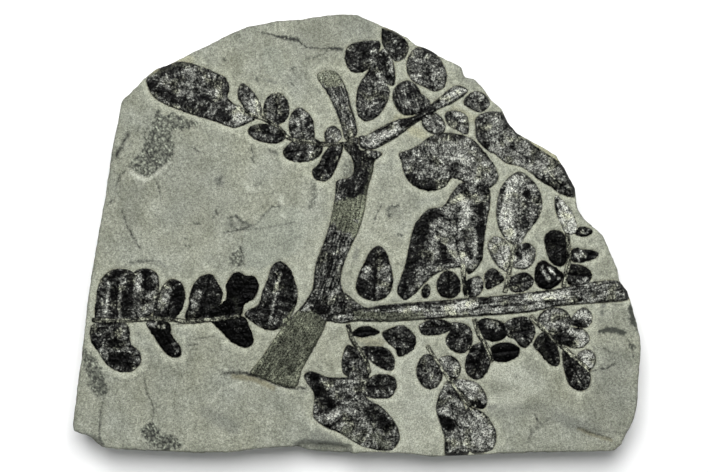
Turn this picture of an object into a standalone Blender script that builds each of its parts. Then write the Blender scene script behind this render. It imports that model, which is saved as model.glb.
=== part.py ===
"""Fossil fern plate: a flat slab of shale with the coal film of a seed fern's frond in its face.

The slab lies on its back. +X runs to the right across the fossil face, +Y towards the growing tip of the
frond and +Z out of the face. The origin is under the middle of the slab, at the level of its flat back.

Lengths in the tables below are millimetres on the fossil face.
"""
import math

import bpy
from mathutils import Vector
from mathutils.geometry import delaunay_2d_cdt

MM = 0.001

# Driving dimensions, in millimetres
SLAB_CENTRE = (0.1, -0.35)  # middle of the slab's outline in the tables below; it becomes the origin
SLAB_THICKNESS = 16.0      # back to face
POCKET_DEPTH = 1.0         # how far the cleared floor round the frond lies below the face
POCKET_MARGIN = 0.45       # floor left clear beside a leaf
POCKET_BEVEL = 0.9         # width of the sloping wall of a pocket
FILM_CLEARANCE = 0.3       # gap between the coal film and whatever touches it
LEAF_RIM = 0.35            # thickness of a leaf at its edge
LEAF_CREST = 0.65          # and along its midrib
STEM_RIM = 0.5
STEM_CREST = 1.1
CREST_SHARES = (0.3, 0.6)  # of the way from a leaf's foot to its tip, where its crest points lie
OVAL_POINTS = 16           # round an egg-shaped leaflet
OVAL_LEAN = 0.05           # how much nearer its foot it is broadest, as a share of its length
SMALLEST_PATCH = 0.3       # films and gaps smaller than this many square millimetres are left out
MITRE_LIMIT = 1.5          # how much further than asked a sharp corner may move when an outline grows
CURVE_TOLERANCE = 0.1      # how far a facet may cut inside the curve it follows
MERGE_DISTANCE = 0.02      # points closer than this are one point
CREST_INSET = 1.0          # crest points keep this far from a leaf's edge
FILM_EDGE_INSET = 0.5      # where the slab's edge cuts the frond, the film ends this far inside it
WALL_WAVE = 0.35           # how quickly the side walls wander in and out, in radians a millimetre,
WALL_SLANT = 0.7           # more slowly along Y than along X,
WALL_TURN = 9              # and shifted from the foot of a wall to its top, in radians
ON_LINE = 0.05             # a point this close to a line lies on it

# Broken edge of the slab, clockwise from the left end of its top edge
SLAB_OUTLINE = [
    (-73.2, 40.7), (-72.5, 42), (-70.6, 43.6), (-66, 48.6), (-62, 51.5), (-58, 53), (-54, 55), (-45, 59.5),
    (-38.5, 62.6), (-34, 64.6), (-24.5, 66.4), (-17, 66.9), (-10, 68), (-4, 68.4), (0, 68.3), (4, 66.7),
    (11, 63.6),
    (16, 61), (18.7, 58.8), (22, 58), (26, 55.3), (32.5, 52), (33.6, 49), (36.5, 48.3), (39, 46),
    (42, 41.5), (45, 39), (47.5, 34.5), (50, 31.6), (57, 27.5), (62, 24.6), (65, 20), (67.8, 14.5),
    (68.5, 8), (70.5, 5), (74.5, 1.6), (76.5, -0.5), (79.1, -6.3), (81.2, -10.6), (81.7, -14.2),
    (84.2, -17.8), (85.2, -21), (87.3, -28.5), (88.2, -33), (88.2, -36), (87.2, -52), (86.3, -56.8),
    (82.5, -65), (80, -67.2), (67, -67.5), (46, -68), (35, -68.6), (24, -69.1), (15, -68.1), (5, -67.6),
    (-5, -68.2), (-14.5, -67.6), (-20, -65.9), (-28.5, -66.3), (-36, -67.5), (-48, -68), (-60, -67.5),
    (-79.3, -66.3), (-83.5, -63.1), (-87.8, -61), (-88, -59), (-86.3, -44), (-84, -25), (-82.4, -13),
    (-80.2, 0), (-78, 12.5), (-76, 25),
]

# Levels of the side walls: share of the height at the face, inset from its edge, and how much that varies
WALL_LEVELS = [(0.72, 0.7, 0.5), (0.38, 0.9, 0.6), (0.0, 1.6, 0.7)]

# Ledges and chips where a layer of the shale has split away: drop below the face, and outline
SPLITS = [
    (5.0, [(-18.5, -65.7), (-17, -65.2), (-9, -65.4), (-3, -66.3), (-2.5, -69), (-18, -68.5)]),
    (3.0, [(-84.5, -64.5), (-84, -62.6), (-81.5, -63.6), (-78.8, -65.7), (-78.5, -68)]),
    (0.7, [(56, -60.5), (62, -58.2), (70, -60.4), (82, -62), (88, -60), (84, -70), (53, -70), (54, -63)]),
    (0.9, [(-41.5, -43), (-36, -42.9), (-34.2, -43.3), (-31, -45.3), (-25, -47), (-19, -48.3), (-15, -47.9),
           (-17, -52), (-26, -55.5), (-36, -52.5), (-42, -46.5)]),
]
SPLIT_BEVEL = 0.5


def blade(*points):
    """A leaflet by its outline, from its foot and round it."""
    return {"kind": "blade", "points": points}


def oval(foot, tip, width):
    """An egg-shaped leaflet by its foot, its tip and its greatest width."""
    return {"kind": "oval", "points": (foot, tip), "width": width}


def strand(width, *points):
    """A thin stalk or axis along a row of points."""
    return {"kind": "strand", "points": points, "width": width}


FROND = {
    "main_stem": [
        blade((-2, 29.4), (-3.7, 28.4), (-3.6, 26.6), (-1.9, 24.8), (-0.8, 21.5), (-1, 19), (-2.6, 17.5),
              (-6, 16.5), (-6.6, 12), (-7.4, 7), (-9.5, -1), (-12.5, -9), (-13.7, -17), (-15.5, -20.5),
              (-22.5, -28.5), (-30.5, -39.8), (-33, -43.1), (-30, -44.1), (-25, -46.2), (-18.9, -47.2),
              (-17, -42), (-13.8, -36), (-10.5, -30), (-8.5, -25.5), (-4, -24), (-4, -18.5), (-5, -15),
              (-4.3, -10), (-1.7, -3.5), (0.5, 1), (2.5, 8), (3.5, 14.5), (5, 19.5), (5.6, 23), (8, 25),
              (5.5, 26), (0.7, 26.5), (0.4, 30)),
    ],
    "stem_tip": [
        blade((-1.6, 30), (-3.3, 29.5), (-4.6, 33.5), (-6.5, 38.7), (-9, 44), (-12.2, 49.5), (-9, 50.8),
              (-6, 50), (-3.2, 45), (-1.5, 39), (-0.3, 35), (0, 31)),
    ],
    "branch_upper_right": [
        blade((0.9, 28.4), (0.9, 30.4), (3, 30.7), (6, 32.4), (12, 35.3), (18, 36.8), (22, 38.6), (26, 42),
              (31, 45.9), (34, 44.4), (30, 41), (26, 39.8), (22, 37.7), (18, 34.3), (12, 30), (7.5, 27.5),
              (5.6, 26.6), (1.5, 26.9)),
        blade((17.5, 37.2), (14.5, 37.3), (12.3, 39.5), (11.3, 42.7), (12.2, 45.8), (15.5, 47.7),
              (18.5, 46.3), (20.3, 43.5), (22.7, 41.3), (22.3, 39.2)),
        oval((21, 37), (27, 31.8), 6),
    ],
    "branch_lower_right": [
        blade((-3.2, -21), (-3, -18.7), (1, -22), (3, -22.8), (8, -22), (28, -20.4), (48, -18.7), (60, -17.3),
              (82, -14.8), (85, -19.5), (70, -21.5), (62, -22.3), (54, -24), (33, -25.5), (8, -27),
              (1, -26.8), (-4, -27.4), (-7, -26.2), (-3.2, -24.4)),
    ],
    "pinna_upper_left": [
        strand(1.2, (-4.2, 28), (-10, 28), (-18, 29.2), (-21.5, 30.2), (-23.7, 32.6), (-28.5, 35.8),
               (-34, 37.5), (-37, 39.6)),
        blade((-35.5, 38.8), (-40, 42.5), (-39.5, 45.5), (-41, 48.8), (-44, 50.3), (-49, 52.3), (-54, 53.5),
              (-60, 52.3), (-65, 48.2), (-63.5, 43.5), (-60, 40.8), (-52, 37.7), (-44, 35.2), (-38, 33.3),
              (-33, 35), (-31.5, 36.2)),
        blade((-30.1, 36.5), (-32.7, 37.5), (-34.7, 39.2), (-36.9, 43.5), (-35.4, 46.8), (-32.5, 44.6),
              (-30.2, 41.3), (-29.4, 38.2)),
        oval((-25, 34.2), (-24.8, 44), 8),
        blade((-16.5, 29.2), (-13.3, 29.4), (-13.2, 33), (-14.1, 36.5), (-17.8, 39.3), (-20.3, 37.2),
              (-20.9, 33), (-19.8, 29.9)),
        blade((-7.3, 28.3), (-5, 29.6), (-5, 32), (-7.5, 33.7), (-9.7, 31.8), (-9.4, 28.6)),
        oval((-22, 30.4), (-33.7, 32.3), 5.7),
        oval((-10.5, 27.3), (-22.7, 25), 7.3),
        blade((-7, 28), (-4.4, 27.6), (-6, 21.5), (-8.2, 17.7), (-10.2, 16.5), (-13, 17.5), (-13.7, 19.8),
              (-11.5, 22.1), (-10.2, 25)),
    ],
    "pinna_top": [
        blade((1, 50.3), (-1.2, 50.5), (-2.9, 52.3), (-3.5, 55.5), (-2.5, 58.4), (3, 60), (7.3, 59.6),
              (6, 55), (4, 51.7)),
        blade((12.2, 53.8), (9.7, 56.8), (8, 59.5), (8.3, 64.2), (11, 63.1), (14.5, 61), (16.1, 58.5),
              (15.2, 55.2)),
        blade((10, 46.6), (6.3, 50), (5.6, 54), (8.5, 57.5), (11, 54.3), (12, 49.5), (11.4, 46.3)),
        blade((2.7, 35.2), (0.8, 36.7), (0, 40), (0.5, 45.5), (3.5, 50.5), (5.8, 54.6), (8.5, 48),
              (10.2, 44.5), (9.2, 40.5), (6.3, 36.6)),
    ],
    "leaflet_upper_edge": [
        blade((24, 44.5), (21, 45.9), (17.7, 47.5), (15.7, 50.8), (16.2, 55.2), (19.3, 58.2), (23.8, 56.9),
              (27, 52.5), (28, 48.7), (26.7, 45.4)),
    ],
    "leaflet_under_branch": [
        blade((28, 37.9), (31, 38.3), (33.6, 37.3), (34.8, 34.5), (34.3, 31.2), (31, 32.6), (28.6, 34),
              (27.5, 36.5)),
    ],
    "leaflet_branch_end": [
        blade((33.3, 41), (35.3, 43.7), (37.5, 44.4), (40.3, 42.9), (41.3, 40.7), (39.5, 38.4), (37.5, 38.2),
              (34.5, 39.7)),
    ],
    "pinna_right_edge": [
        blade((37, 33.5), (36.9, 35.7), (38.8, 37.4), (42.5, 38.1), (45.8, 37.5), (47.5, 34.3), (50.5, 31.2),
              (56, 27), (61, 23.7), (64, 21.6), (66, 18.3), (67.8, 14.5), (67.6, 11.7), (63.5, 12.6),
              (60.5, 14.7), (57, 16.7), (54, 19.3), (50.5, 21.3), (46.5, 22.2), (43.3, 24.8), (40, 26.7),
              (37.3, 30)),
    ],
    "pinna_middle": [
        strand(1.6, (34.5, -20.3), (33.4, -14), (33, -8), (33.2, -2)),
        blade((41.5, 14.6), (36, 15.2), (29.8, 17.6), (27.5, 15), (23.5, 13.6), (18.5, 14.7), (15.3, 18),
              (13.8, 23.3), (13.2, 25), (16.5, 26.3), (20, 28.2), (22.8, 30.3), (27.5, 31.5), (32, 31),
              (36, 29.4), (39.5, 25.8), (43, 20.8), (43.9, 17.5)),
        blade((33, -10.3), (27.3, -11), (23, -13.3), (20.3, -16), (18.5, -18), (15, -20.2), (12.7, -17.7),
              (13.5, -14.5), (15.3, -9), (16.5, -3), (18.2, 3), (22.5, 7.8), (26.8, 8.7), (30, 13.3),
              (33, 16), (40.7, 14.8), (41.4, 10), (40.3, 3.5), (39.3, -4), (38.8, -8), (35, -12.2)),
        oval((28.7, -19.8), (28.5, -11.3), 7.4),
        blade((34, -19.4), (33, -17.5), (33.4, -15.3), (34.8, -14), (38, -13), (39.2, -14.5), (39, -17.3),
              (37, -19.3)),
    ],
    "leaflet_middle_left": [
        oval((21.2, -19.8), (22, -15.5), 2.6),
    ],
    "leaflet_middle_right": [
        blade((40, -15.5), (39.8, -12.7), (42, -10.5), (44.8, -12.2), (45.8, -14), (43.5, -15.8),
              (40.6, -16.9)),
    ],
    "pinna_inner_right": [
        strand(1.2, (49.6, -3), (48.3, -6.5), (47.4, -12), (46, -18)),
        blade((49.8, -3.4), (46, -1), (44, 3), (43.5, 8), (45.5, 15.5), (50.3, 19.4), (53.8, 17.5),
              (56.5, 14), (57.6, 9.5), (56.3, 5), (53.2, 1)),
        blade((47.4, -11.4), (44.5, -10.3), (42, -7), (40.8, -3), (43, -0.7), (46.2, -2), (47.7, -5)),
        blade((48.2, -9.5), (48.9, -5.5), (50.3, -3.7), (53, -2.6), (55.3, -4.5), (55.3, -7.5), (53.4, -10.2),
              (50.5, -10.7)),
        blade((47, -14.8), (48.3, -13.2), (52.5, -11.8), (55, -14), (53.4, -16.9), (50, -17.9), (48, -17.4)),
    ],
    "pinna_outer_right": [
        strand(1.2, (65.3, 0.5), (65.8, -4), (65.9, -8), (64.9, -12.5), (64.2, -16.4)),
        blade((65, -3.8), (64.9, -1.2), (63.3, 1), (60.5, 1.2), (58.4, -0.7), (58.8, -4.2), (60.2, -8.2),
              (63, -9.9), (65, -8.5)),
        blade((64.2, -12.7), (61, -9.8), (57.5, -8.1), (55.5, -11), (56, -15.6), (59.2, -17), (62.5, -15.6)),
        blade((65.4, 0.2), (63, 4.5), (61.7, 8), (61.9, 12), (64.5, 9.8), (66.9, 6.7), (68.2, 3.5),
              (68.3, 0.8)),
        blade((67.6, 0.5), (69.1, 2.2), (72, 2), (73.2, 1), (71.5, -0.5), (69, -0.4)),
        blade((65.8, -6.4), (67.5, -4.4), (70.5, -4.7), (73.5, -5), (75.1, -6.1), (73.2, -7.8), (70, -8.5),
              (67.3, -8.4)),
        blade((65, -12), (65.3, -9.6), (69, -9.4), (72, -10.8), (73, -13), (71.3, -15.7), (69, -16),
              (66, -15.5)),
    ],
    "leaflet_centre": [
        blade((5.5, -20.5), (2, -19.6), (0, -17.3), (0.4, -13.3), (2.6, -8.5), (4.5, -5), (7, -3.6),
              (9, -5.3), (10.6, -10), (11.3, -14), (10.3, -18), (8, -20)),
    ],
    "leaflet_pair_below_branch": [
        blade((30, -28.4), (27, -26.6), (22.5, -26.6), (19.5, -28.5), (20.5, -30.8), (24.5, -31.2),
              (28.5, -30)),
        blade((35.9, -31.2), (35.2, -29), (33, -27.6), (29.3, -27.6), (29.1, -30), (27.7, -32.8),
              (29.5, -35.8), (32.8, -36.8), (35.5, -34.6)),
    ],
    "pinna_lower_middle": [
        strand(1.3, (36.6, -26.3), (38, -31), (41, -36), (42, -39.5)),
        blade((37.6, -29.6), (37.7, -27.2), (39.5, -26.1), (42.5, -26.4), (45.4, -27.3), (46.9, -30),
              (45, -32.7), (42, -33.1), (39.2, -31.9)),
        blade((46.3, -31), (45.8, -28), (48.5, -26.1), (52.8, -25.8), (55.3, -29), (54.8, -32.5),
              (52.3, -35.1), (50.6, -34.4), (49.3, -32.6)),
        oval((41.2, -37), (50.7, -36), 6),
        blade((39.6, -33.8), (36.3, -34.5), (34.5, -37.5), (33.7, -41), (35, -44), (37.8, -44.9), (40.2, -43),
              (41.5, -39.5)),
    ],
    "pinna_lower_outer": [
        strand(1.2, (54, -25.4), (58.5, -29.8), (64, -35), (70, -40), (72.5, -42.3)),
        blade((58, -28.8), (56.4, -26.3), (58, -24), (62, -22.8), (65.4, -24.1), (66.6, -27.3), (65, -29.7),
              (60.5, -30.3)),
        blade((66.4, -27.6), (68, -24.3), (70.7, -22.7), (73, -24.8), (72.7, -27.5), (71.3, -28.8),
              (68.5, -28.6)),
        blade((60.8, -31.6), (63.5, -30.3), (67, -29), (70.8, -29.7), (72.3, -32.3), (70.5, -34.8),
              (67.5, -35.2), (63.5, -33.8)),
        blade((69.3, -38.8), (68.8, -37.2), (71.5, -35.7), (73.8, -37.2), (74.1, -39.8), (72.3, -41.8)),
        blade((58.8, -30.2), (56.8, -31), (55, -34.3), (57, -36.8), (60, -40.2), (62.3, -40.8), (63, -38.5),
              (61.8, -33.8)),
        blade((64.2, -35.8), (66.5, -37.2), (70, -40.3), (72.6, -43.7), (71.8, -47.5), (69.3, -48.5),
              (66.3, -46.8), (64.8, -43), (64, -39)),
    ],
    "pinna_below_stem": [
        strand(1.2, (-2.6, -28), (-1.2, -33), (2.5, -38), (4, -43)),
        blade((-1.6, -31), (1, -28.8), (4, -28.6), (7.2, -30.4), (4, -31.5), (1, -31.8)),
        blade((1.3, -35.4), (5, -34.7), (9.5, -35.5), (11.6, -38.5), (11.3, -42), (8.5, -41.8), (4.5, -39.3)),
        blade((2.2, -38), (3.6, -42), (3.8, -43.7), (0, -45), (-4, -43), (-4.4, -39), (-2.8, -34.4),
              (0, -35.5)),
        blade((2.5, -47.5), (4, -44.7), (7, -43.4), (11.5, -44.3), (12.4, -47), (10.5, -50.4), (7.5, -50.9),
              (3, -50)),
        blade((3.5, -43.5), (-4, -44.5), (-9, -44.3), (-14.5, -42.5), (-16.2, -43.9), (-13.3, -49),
              (-13, -52), (-13.3, -56.5), (-10, -59.5), (-5, -61.6), (0, -64.7), (4, -66.3), (11, -66.6),
              (13.3, -63.5), (12.2, -59), (8, -53.8), (3, -50.5)),
    ],
    "leaflet_below_branch": [
        blade((8, -30.7), (11, -29), (14, -28.3), (17, -30), (18.5, -33), (17, -36), (13, -37.8),
              (12.2, -35.7), (10, -33.8)),
    ],
    "pinna_lower_edge": [
        strand(0.9, (22, -34.5), (25, -39.5), (28.5, -44.5), (32.5, -50), (36, -54.5)),
        blade((26.2, -41.3), (24.8, -39), (22.5, -37.2), (20.3, -38), (18.7, -41.5), (19.2, -45), (22.3, -48),
              (25.3, -46.8), (26.7, -43.5)),
        blade((27.3, -42.5), (25.5, -39), (28, -37.6), (31, -38.6), (32.3, -41.5), (31.5, -44.2),
              (29.3, -44.6)),
        blade((29.6, -45.5), (34.5, -45.2), (38.3, -46.9), (40.5, -51.5), (39.6, -53.9), (36.5, -53.5),
              (32.5, -48.7)),
        blade((28.2, -45.6), (32, -50.5), (34.7, -57), (35.2, -63), (34.7, -68), (31.5, -68.7), (27.8, -68.5),
              (27.4, -63), (26, -58.5), (24.8, -54.5), (25.5, -50.3), (27, -47.5)),
        blade((34.3, -54), (38.5, -54.8), (41.5, -57.8), (43.4, -62), (42.3, -66.2), (39, -67.7),
              (35.5, -67.5), (35, -62)),
    ],
    "pinna_lower_left": [
        strand(1.3, (-82, -26.5), (-74, -26.8), (-60, -26), (-53, -27), (-44, -26.2), (-35.8, -25.1)),
        blade((-74, -26.4), (-80.8, -26), (-80.8, -21), (-79.5, -14.5), (-76.8, -11.5), (-73, -10.7),
              (-69.3, -12), (-69.3, -17), (-69.6, -25.5)),
        blade((-67, -25.8), (-69.9, -25.5), (-69.6, -17), (-69, -11.8), (-66, -10.6), (-62.3, -11.9),
              (-61.3, -15.5), (-62.3, -22), (-63.8, -24.8)),
        blade((-58.5, -26), (-63, -25.2), (-61.8, -20.5), (-60.3, -16.3), (-57.5, -13.9), (-54.5, -15),
              (-53.2, -18.5), (-54, -22.7), (-56, -25.4)),
        blade((-48.5, -25.8), (-53.2, -25.8), (-52.2, -22.5), (-51.2, -17), (-48.5, -13.2), (-45.2, -12.4),
              (-42.8, -15.6), (-41.6, -18.2), (-42.6, -21.8), (-46.3, -25.9)),
        blade((-40.5, -25.6), (-45.8, -26), (-45.8, -24), (-42.2, -21.8), (-40.4, -20), (-40.3, -15.5),
              (-38, -12), (-36.2, -11.8), (-34.3, -12.8), (-31.5, -13.2), (-30.4, -16.5), (-31.8, -19.7),
              (-35, -21.8), (-35.7, -24.8)),
        blade((-34.6, -24.6), (-30.3, -21.6), (-29.2, -18), (-27.6, -14), (-26, -9.7), (-24, -8.4),
              (-21.2, -10), (-19.2, -14.5), (-18.3, -19), (-20.7, -26), (-23.3, -28.8), (-27, -29.7),
              (-31, -28)),
        blade((-75, -27.1), (-82, -28.2), (-82.5, -32.5), (-80, -36.5), (-77.5, -40.2), (-73.5, -42.5),
              (-69.5, -42.3), (-67, -39.5), (-67.4, -36.5), (-70, -34), (-71.1, -28.2)),
        blade((-61.5, -26.5), (-65.2, -27.5), (-63.5, -30.5), (-60.5, -35.3), (-57.5, -38), (-54.8, -37.8),
              (-54.6, -35.3), (-57.5, -31), (-58, -27.7)),
        blade((-40, -25.9), (-45, -26.5), (-41.5, -30.5), (-38, -33.8), (-33.8, -35), (-32, -33.2),
              (-33, -29.5), (-35, -25.6)),
    ],
}

# Middle of each stem, where its film is thickest
STEM_CRESTS = {
    "main_stem": [(2, 22), (-1, 14), (-3, 6), (-6.5, -6), (-9.3, -16), (-13, -25), (-19, -35), (-24.5, -43)],
    "stem_tip": [(-2.5, 32), (-4.2, 39), (-7.5, 46.5)],
    "branch_upper_right": [(4, 28.8), (10, 31.8), (16, 35.2), (29.5, 43.2)],
    "branch_lower_right": [(0, -24.5), (8, -24.6), (20, -23.8), (34, -23), (48, -21.7), (60, -19.9),
                           (72, -18.8), (80, -17.6)],
}


# ---------------------------------------------------------------- plane geometry

def signed_area(loop):
    return sum(a[0] * b[1] - b[0] * a[1] for a, b in zip(loop, loop[1:] + loop[:1])) / 2


def counter_clockwise(loop):
    return loop if signed_area(loop) > 0 else loop[::-1]


def catmull_rom(p0, p1, p2, p3, share):
    """Point on the centripetal Catmull-Rom curve between p1 and p2."""
    t0 = 0.0
    t1 = t0 + math.sqrt(math.dist(p0, p1))
    t2 = t1 + math.sqrt(math.dist(p1, p2))
    t3 = t2 + math.sqrt(math.dist(p2, p3))
    t = t1 + share * (t2 - t1)

    def mix(a, b, ta, tb):
        weight = (t - ta) / (tb - ta)
        return (a[0] + (b[0] - a[0]) * weight, a[1] + (b[1] - a[1]) * weight)

    a1 = mix(p0, p1, t0, t1)
    a2 = mix(p1, p2, t1, t2)
    a3 = mix(p2, p3, t2, t3)
    return mix(mix(a1, a2, t0, t2), mix(a2, a3, t1, t3), t1, t2)


def closed_curve(points, steps=6):
    count = len(points)
    curve = []
    for i in range(count):
        corners = [points[(i + k) % count] for k in (-1, 0, 1, 2)]
        curve += [catmull_rom(*corners, k / steps) for k in range(steps)]
    return curve


def open_curve(points, steps=4):
    first = (2 * points[0][0] - points[1][0], 2 * points[0][1] - points[1][1])
    last = (2 * points[-1][0] - points[-2][0], 2 * points[-1][1] - points[-2][1])
    padded = [first, *points, last]
    curve = []
    for i in range(len(points) - 1):
        curve += [catmull_rom(*padded[i:i + 4], k / steps) for k in range(steps)]
    return curve + [points[-1]]


def oval_outline(foot, tip, width):
    """Egg shape, broadest a little nearer its foot than its tip."""
    along = (tip[0] - foot[0], tip[1] - foot[1])
    length = math.hypot(*along)
    side = (-along[1] / length, along[0] / length)
    points = []
    for k in range(OVAL_POINTS):
        turn = 2 * math.pi * k / OVAL_POINTS
        run = (1 - math.cos(turn)) / 2 - OVAL_LEAN * math.sin(turn) ** 2
        out = width / 2 * math.sin(turn)
        points.append((foot[0] + along[0] * run + side[0] * out, foot[1] + along[1] * run + side[1] * out))
    return points


def strand_outline(points, width):
    """Band of even width along a curve."""
    line = open_curve(list(points))
    left, right = [], []
    for i, p in enumerate(line):
        before, after = line[max(i - 1, 0)], line[min(i + 1, len(line) - 1)]
        length = math.dist(before, after)
        shift = (-(after[1] - before[1]) / length * width / 2, (after[0] - before[0]) / length * width / 2)
        left.append((p[0] + shift[0], p[1] + shift[1]))
        right.append((p[0] - shift[0], p[1] - shift[1]))
    return left + right[::-1]


def distance_to_segment(p, a, b):
    along = (b[0] - a[0], b[1] - a[1])
    square = along[0] ** 2 + along[1] ** 2
    share = 0.0 if square == 0 else ((p[0] - a[0]) * along[0] + (p[1] - a[1]) * along[1]) / square
    share = min(max(share, 0.0), 1.0)
    return math.dist(p, (a[0] + along[0] * share, a[1] + along[1] * share))


def distance_to_loop(p, loop):
    return min(distance_to_segment(p, a, b) for a, b in zip(loop, loop[1:] + loop[:1]))


def is_inside(p, loop):
    inside = False
    for a, b in zip(loop, loop[1:] + loop[:1]):
        if (a[1] > p[1]) != (b[1] > p[1]) and p[0] < a[0] + (p[1] - a[1]) / (b[1] - a[1]) * (b[0] - a[0]):
            inside = not inside
    return inside


def simplified(line, tolerance):
    """Fewest points of an open line that keep it within tolerance."""
    if len(line) < 3:
        return line
    offsets = [distance_to_segment(p, line[0], line[-1]) for p in line[1:-1]]
    worst = max(range(len(offsets)), key=offsets.__getitem__)
    if offsets[worst] <= tolerance:
        return [line[0], line[-1]]
    return simplified(line[:worst + 2], tolerance)[:-1] + simplified(line[worst + 1:], tolerance)


def simplified_loop(loop, tolerance):
    far = max(range(len(loop)), key=lambda i: math.dist(loop[0], loop[i]))
    return simplified(loop[:far + 1], tolerance)[:-1] + simplified(loop[far:] + loop[:1], tolerance)[:-1]


def outline_of(shape):
    """Smooth outline of a blade, an oval or a strand, counter-clockwise."""
    if shape["kind"] == "blade":
        loop = closed_curve(list(shape["points"]))
    elif shape["kind"] == "oval":
        loop = closed_curve(oval_outline(*shape["points"], shape["width"]), 2)
    else:
        loop = strand_outline(shape["points"], shape["width"])
    return counter_clockwise(loop)


def grown(loop, distance):
    """The counter-clockwise loop with its edge moved outwards."""
    count = len(loop)
    moved = []
    for i, p in enumerate(loop):
        a, b = loop[i - 1], loop[(i + 1) % count]
        first = math.dist(a, p)
        second = math.dist(p, b)
        out_x = (p[1] - a[1]) / first + (b[1] - p[1]) / second
        out_y = (a[0] - p[0]) / first + (p[0] - b[0]) / second
        length = math.hypot(out_x, out_y)
        reach = distance * min(2 / length, MITRE_LIMIT) / length
        moved.append((p[0] + out_x * reach, p[1] + out_y * reach))
    return [p for p in moved if distance_to_loop(p, loop) > abs(distance) * (1 - ON_LINE)]


def plane_mesh(regions, lines=(), points=()):
    """Delaunay triangles that keep every edge of the regions and lines, with the regions each lies in."""
    coords, faces, edges = [], [], []
    for loop in regions:
        faces.append(list(range(len(coords), len(coords) + len(loop))))
        coords += loop
    for loop in lines:
        first = len(coords)
        edges += [(first + i, first + (i + 1) % len(loop)) for i in range(len(loop))]
        coords += loop
    coords += points
    verts, _, triangles, _, _, sources = delaunay_2d_cdt([Vector(p) for p in coords], edges, faces, 0,
                                                         MERGE_DISTANCE, True)
    return [tuple(v) for v in verts], triangles, [set(s) for s in sources]


def boundary_loops(verts, triangles):
    """Loops of vertex indices round a set of triangles, with the area on their left.

    Where two loops meet in a point, each turns back into its own side.
    """
    directed = {(t[i], t[(i + 1) % 3]) for t in triangles for i in range(3)}
    following = {}
    for a, b in sorted(directed):
        if (b, a) not in directed:
            following.setdefault(a, []).append(b)

    def clockwise_turn(back, here, ahead):
        first = math.atan2(verts[back][1] - verts[here][1], verts[back][0] - verts[here][0])
        second = math.atan2(verts[ahead][1] - verts[here][1], verts[ahead][0] - verts[here][0])
        return (first - second) % (2 * math.pi)

    loops = []
    while following:
        start = min(following)
        loop = [start, following[start].pop()]
        while loop[-1] != start:
            back, here = loop[-2:]
            ahead = min(following[here], key=lambda b: clockwise_turn(back, here, b))
            following[here].remove(ahead)
            loop.append(ahead)
        loops.append(loop[:-1])
        following = {a: ends for a, ends in following.items() if ends}
    return loops


def union_loops(regions, without=(), within=None):
    """Outlines of the area covered by regions, less the areas to leave out, inside one last outline."""
    limits = [within] if within else []
    verts, triangles, sources = plane_mesh([*regions, *without, *limits])
    first_out = len(regions)
    limit = first_out + len(without)
    kept = []
    for triangle, inside in zip(triangles, sources):
        covered = any(i < first_out for i in inside)
        left_out = any(first_out <= i < limit for i in inside)
        if covered and not left_out and (not limits or limit in inside):
            kept.append(triangle)
    loops = [[verts[i] for i in loop] for loop in boundary_loops(verts, kept)]
    large = [loop for loop in loops if abs(signed_area(loop)) > SMALLEST_PATCH]
    return [simplified_loop(loop, CURVE_TOLERANCE) for loop in large]


# ---------------------------------------------------------------- solids

def material(name, colour, roughness, metallic=0.0):
    result = bpy.data.materials.new(name)
    result.use_nodes = True
    shader = result.node_tree.nodes["Principled BSDF"]
    shader.inputs["Base Color"].default_value = (*colour, 1.0)
    shader.inputs["Roughness"].default_value = roughness
    shader.inputs["Metallic"].default_value = metallic
    return result


def add_solid(name, verts, faces, look):
    mesh = bpy.data.meshes.new(name)
    mesh.from_pydata([((x - SLAB_CENTRE[0]) * MM, (y - SLAB_CENTRE[1]) * MM, z * MM) for x, y, z in verts],
                     [], faces)
    mesh.materials.append(look)
    solid = bpy.data.objects.new(name, mesh)
    bpy.context.collection.objects.link(solid)
    return solid


def crest_points(name, shapes, outer):
    """Height of the film at points along its midribs, or along the middle of a stem, well inside its edge."""
    if name in STEM_CRESTS:
        return {p: STEM_CREST for p in STEM_CRESTS[name]}
    heights = {}
    for shape in shapes:
        if shape["kind"] == "strand":
            continue
        foot = shape["points"][0]
        tip = max(outline_of(shape), key=lambda p: math.dist(foot, p))
        for share in CREST_SHARES:
            p = (foot[0] + (tip[0] - foot[0]) * share, foot[1] + (tip[1] - foot[1]) * share)
            if is_inside(p, outer) and distance_to_loop(p, outer) > CREST_INSET:
                heights[p] = LEAF_CREST
    return heights


def filled(regions, points=()):
    """Triangles over the first region, less the holes that the others make in it."""
    flat, triangles, sources = plane_mesh(regions, points=list(points))
    return flat, [t for t, inside in zip(triangles, sources) if inside == {0}]


def place_key(p):
    return (round(p[0], 2), round(p[1], 2))


def film_solid(name, shapes, neighbours, slab_limit, look):
    """Thin film of coal in the outline of its shapes, thickest along their midribs."""
    rim = STEM_RIM if name in STEM_CRESTS else LEAF_RIM
    loops = union_loops([outline_of(s) for s in shapes], neighbours, slab_limit)
    outer = max(loops, key=signed_area)
    holes = [loop[::-1] for loop in loops if signed_area(loop) < 0 and is_inside(loop[0], outer)]
    regions = [outer, *holes]
    crests = crest_points(name, shapes, outer)
    top, top_triangles = filled(regions, crests)
    bottom, bottom_triangles = filled(regions)

    base = SLAB_THICKNESS - POCKET_DEPTH + FILM_CLEARANCE
    heights = {place_key(p): height for p, height in crests.items()}
    verts = [(*p, base + heights.get(place_key(p), rim)) for p in top]
    verts += [(*p, base) for p in bottom]
    below = {place_key(p): len(top) + i for i, p in enumerate(bottom)}
    faces = [list(t) for t in top_triangles]
    faces += [[len(top) + i for i in reversed(t)] for t in bottom_triangles]
    for loop in boundary_loops(top, top_triangles):
        for a, b in zip(loop, loop[1:] + loop[:1]):
            faces.append([a, below[place_key(top[a])], below[place_key(top[b])], b])
    return add_solid(name, verts, faces, look)


def split_drop(p):
    """How far the broken layers lower the face at a point."""
    drops = [drop for drop, foot in split_feet() if is_inside(p, foot) or distance_to_loop(p, foot) < ON_LINE]
    return max(drops, default=0.0)


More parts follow.
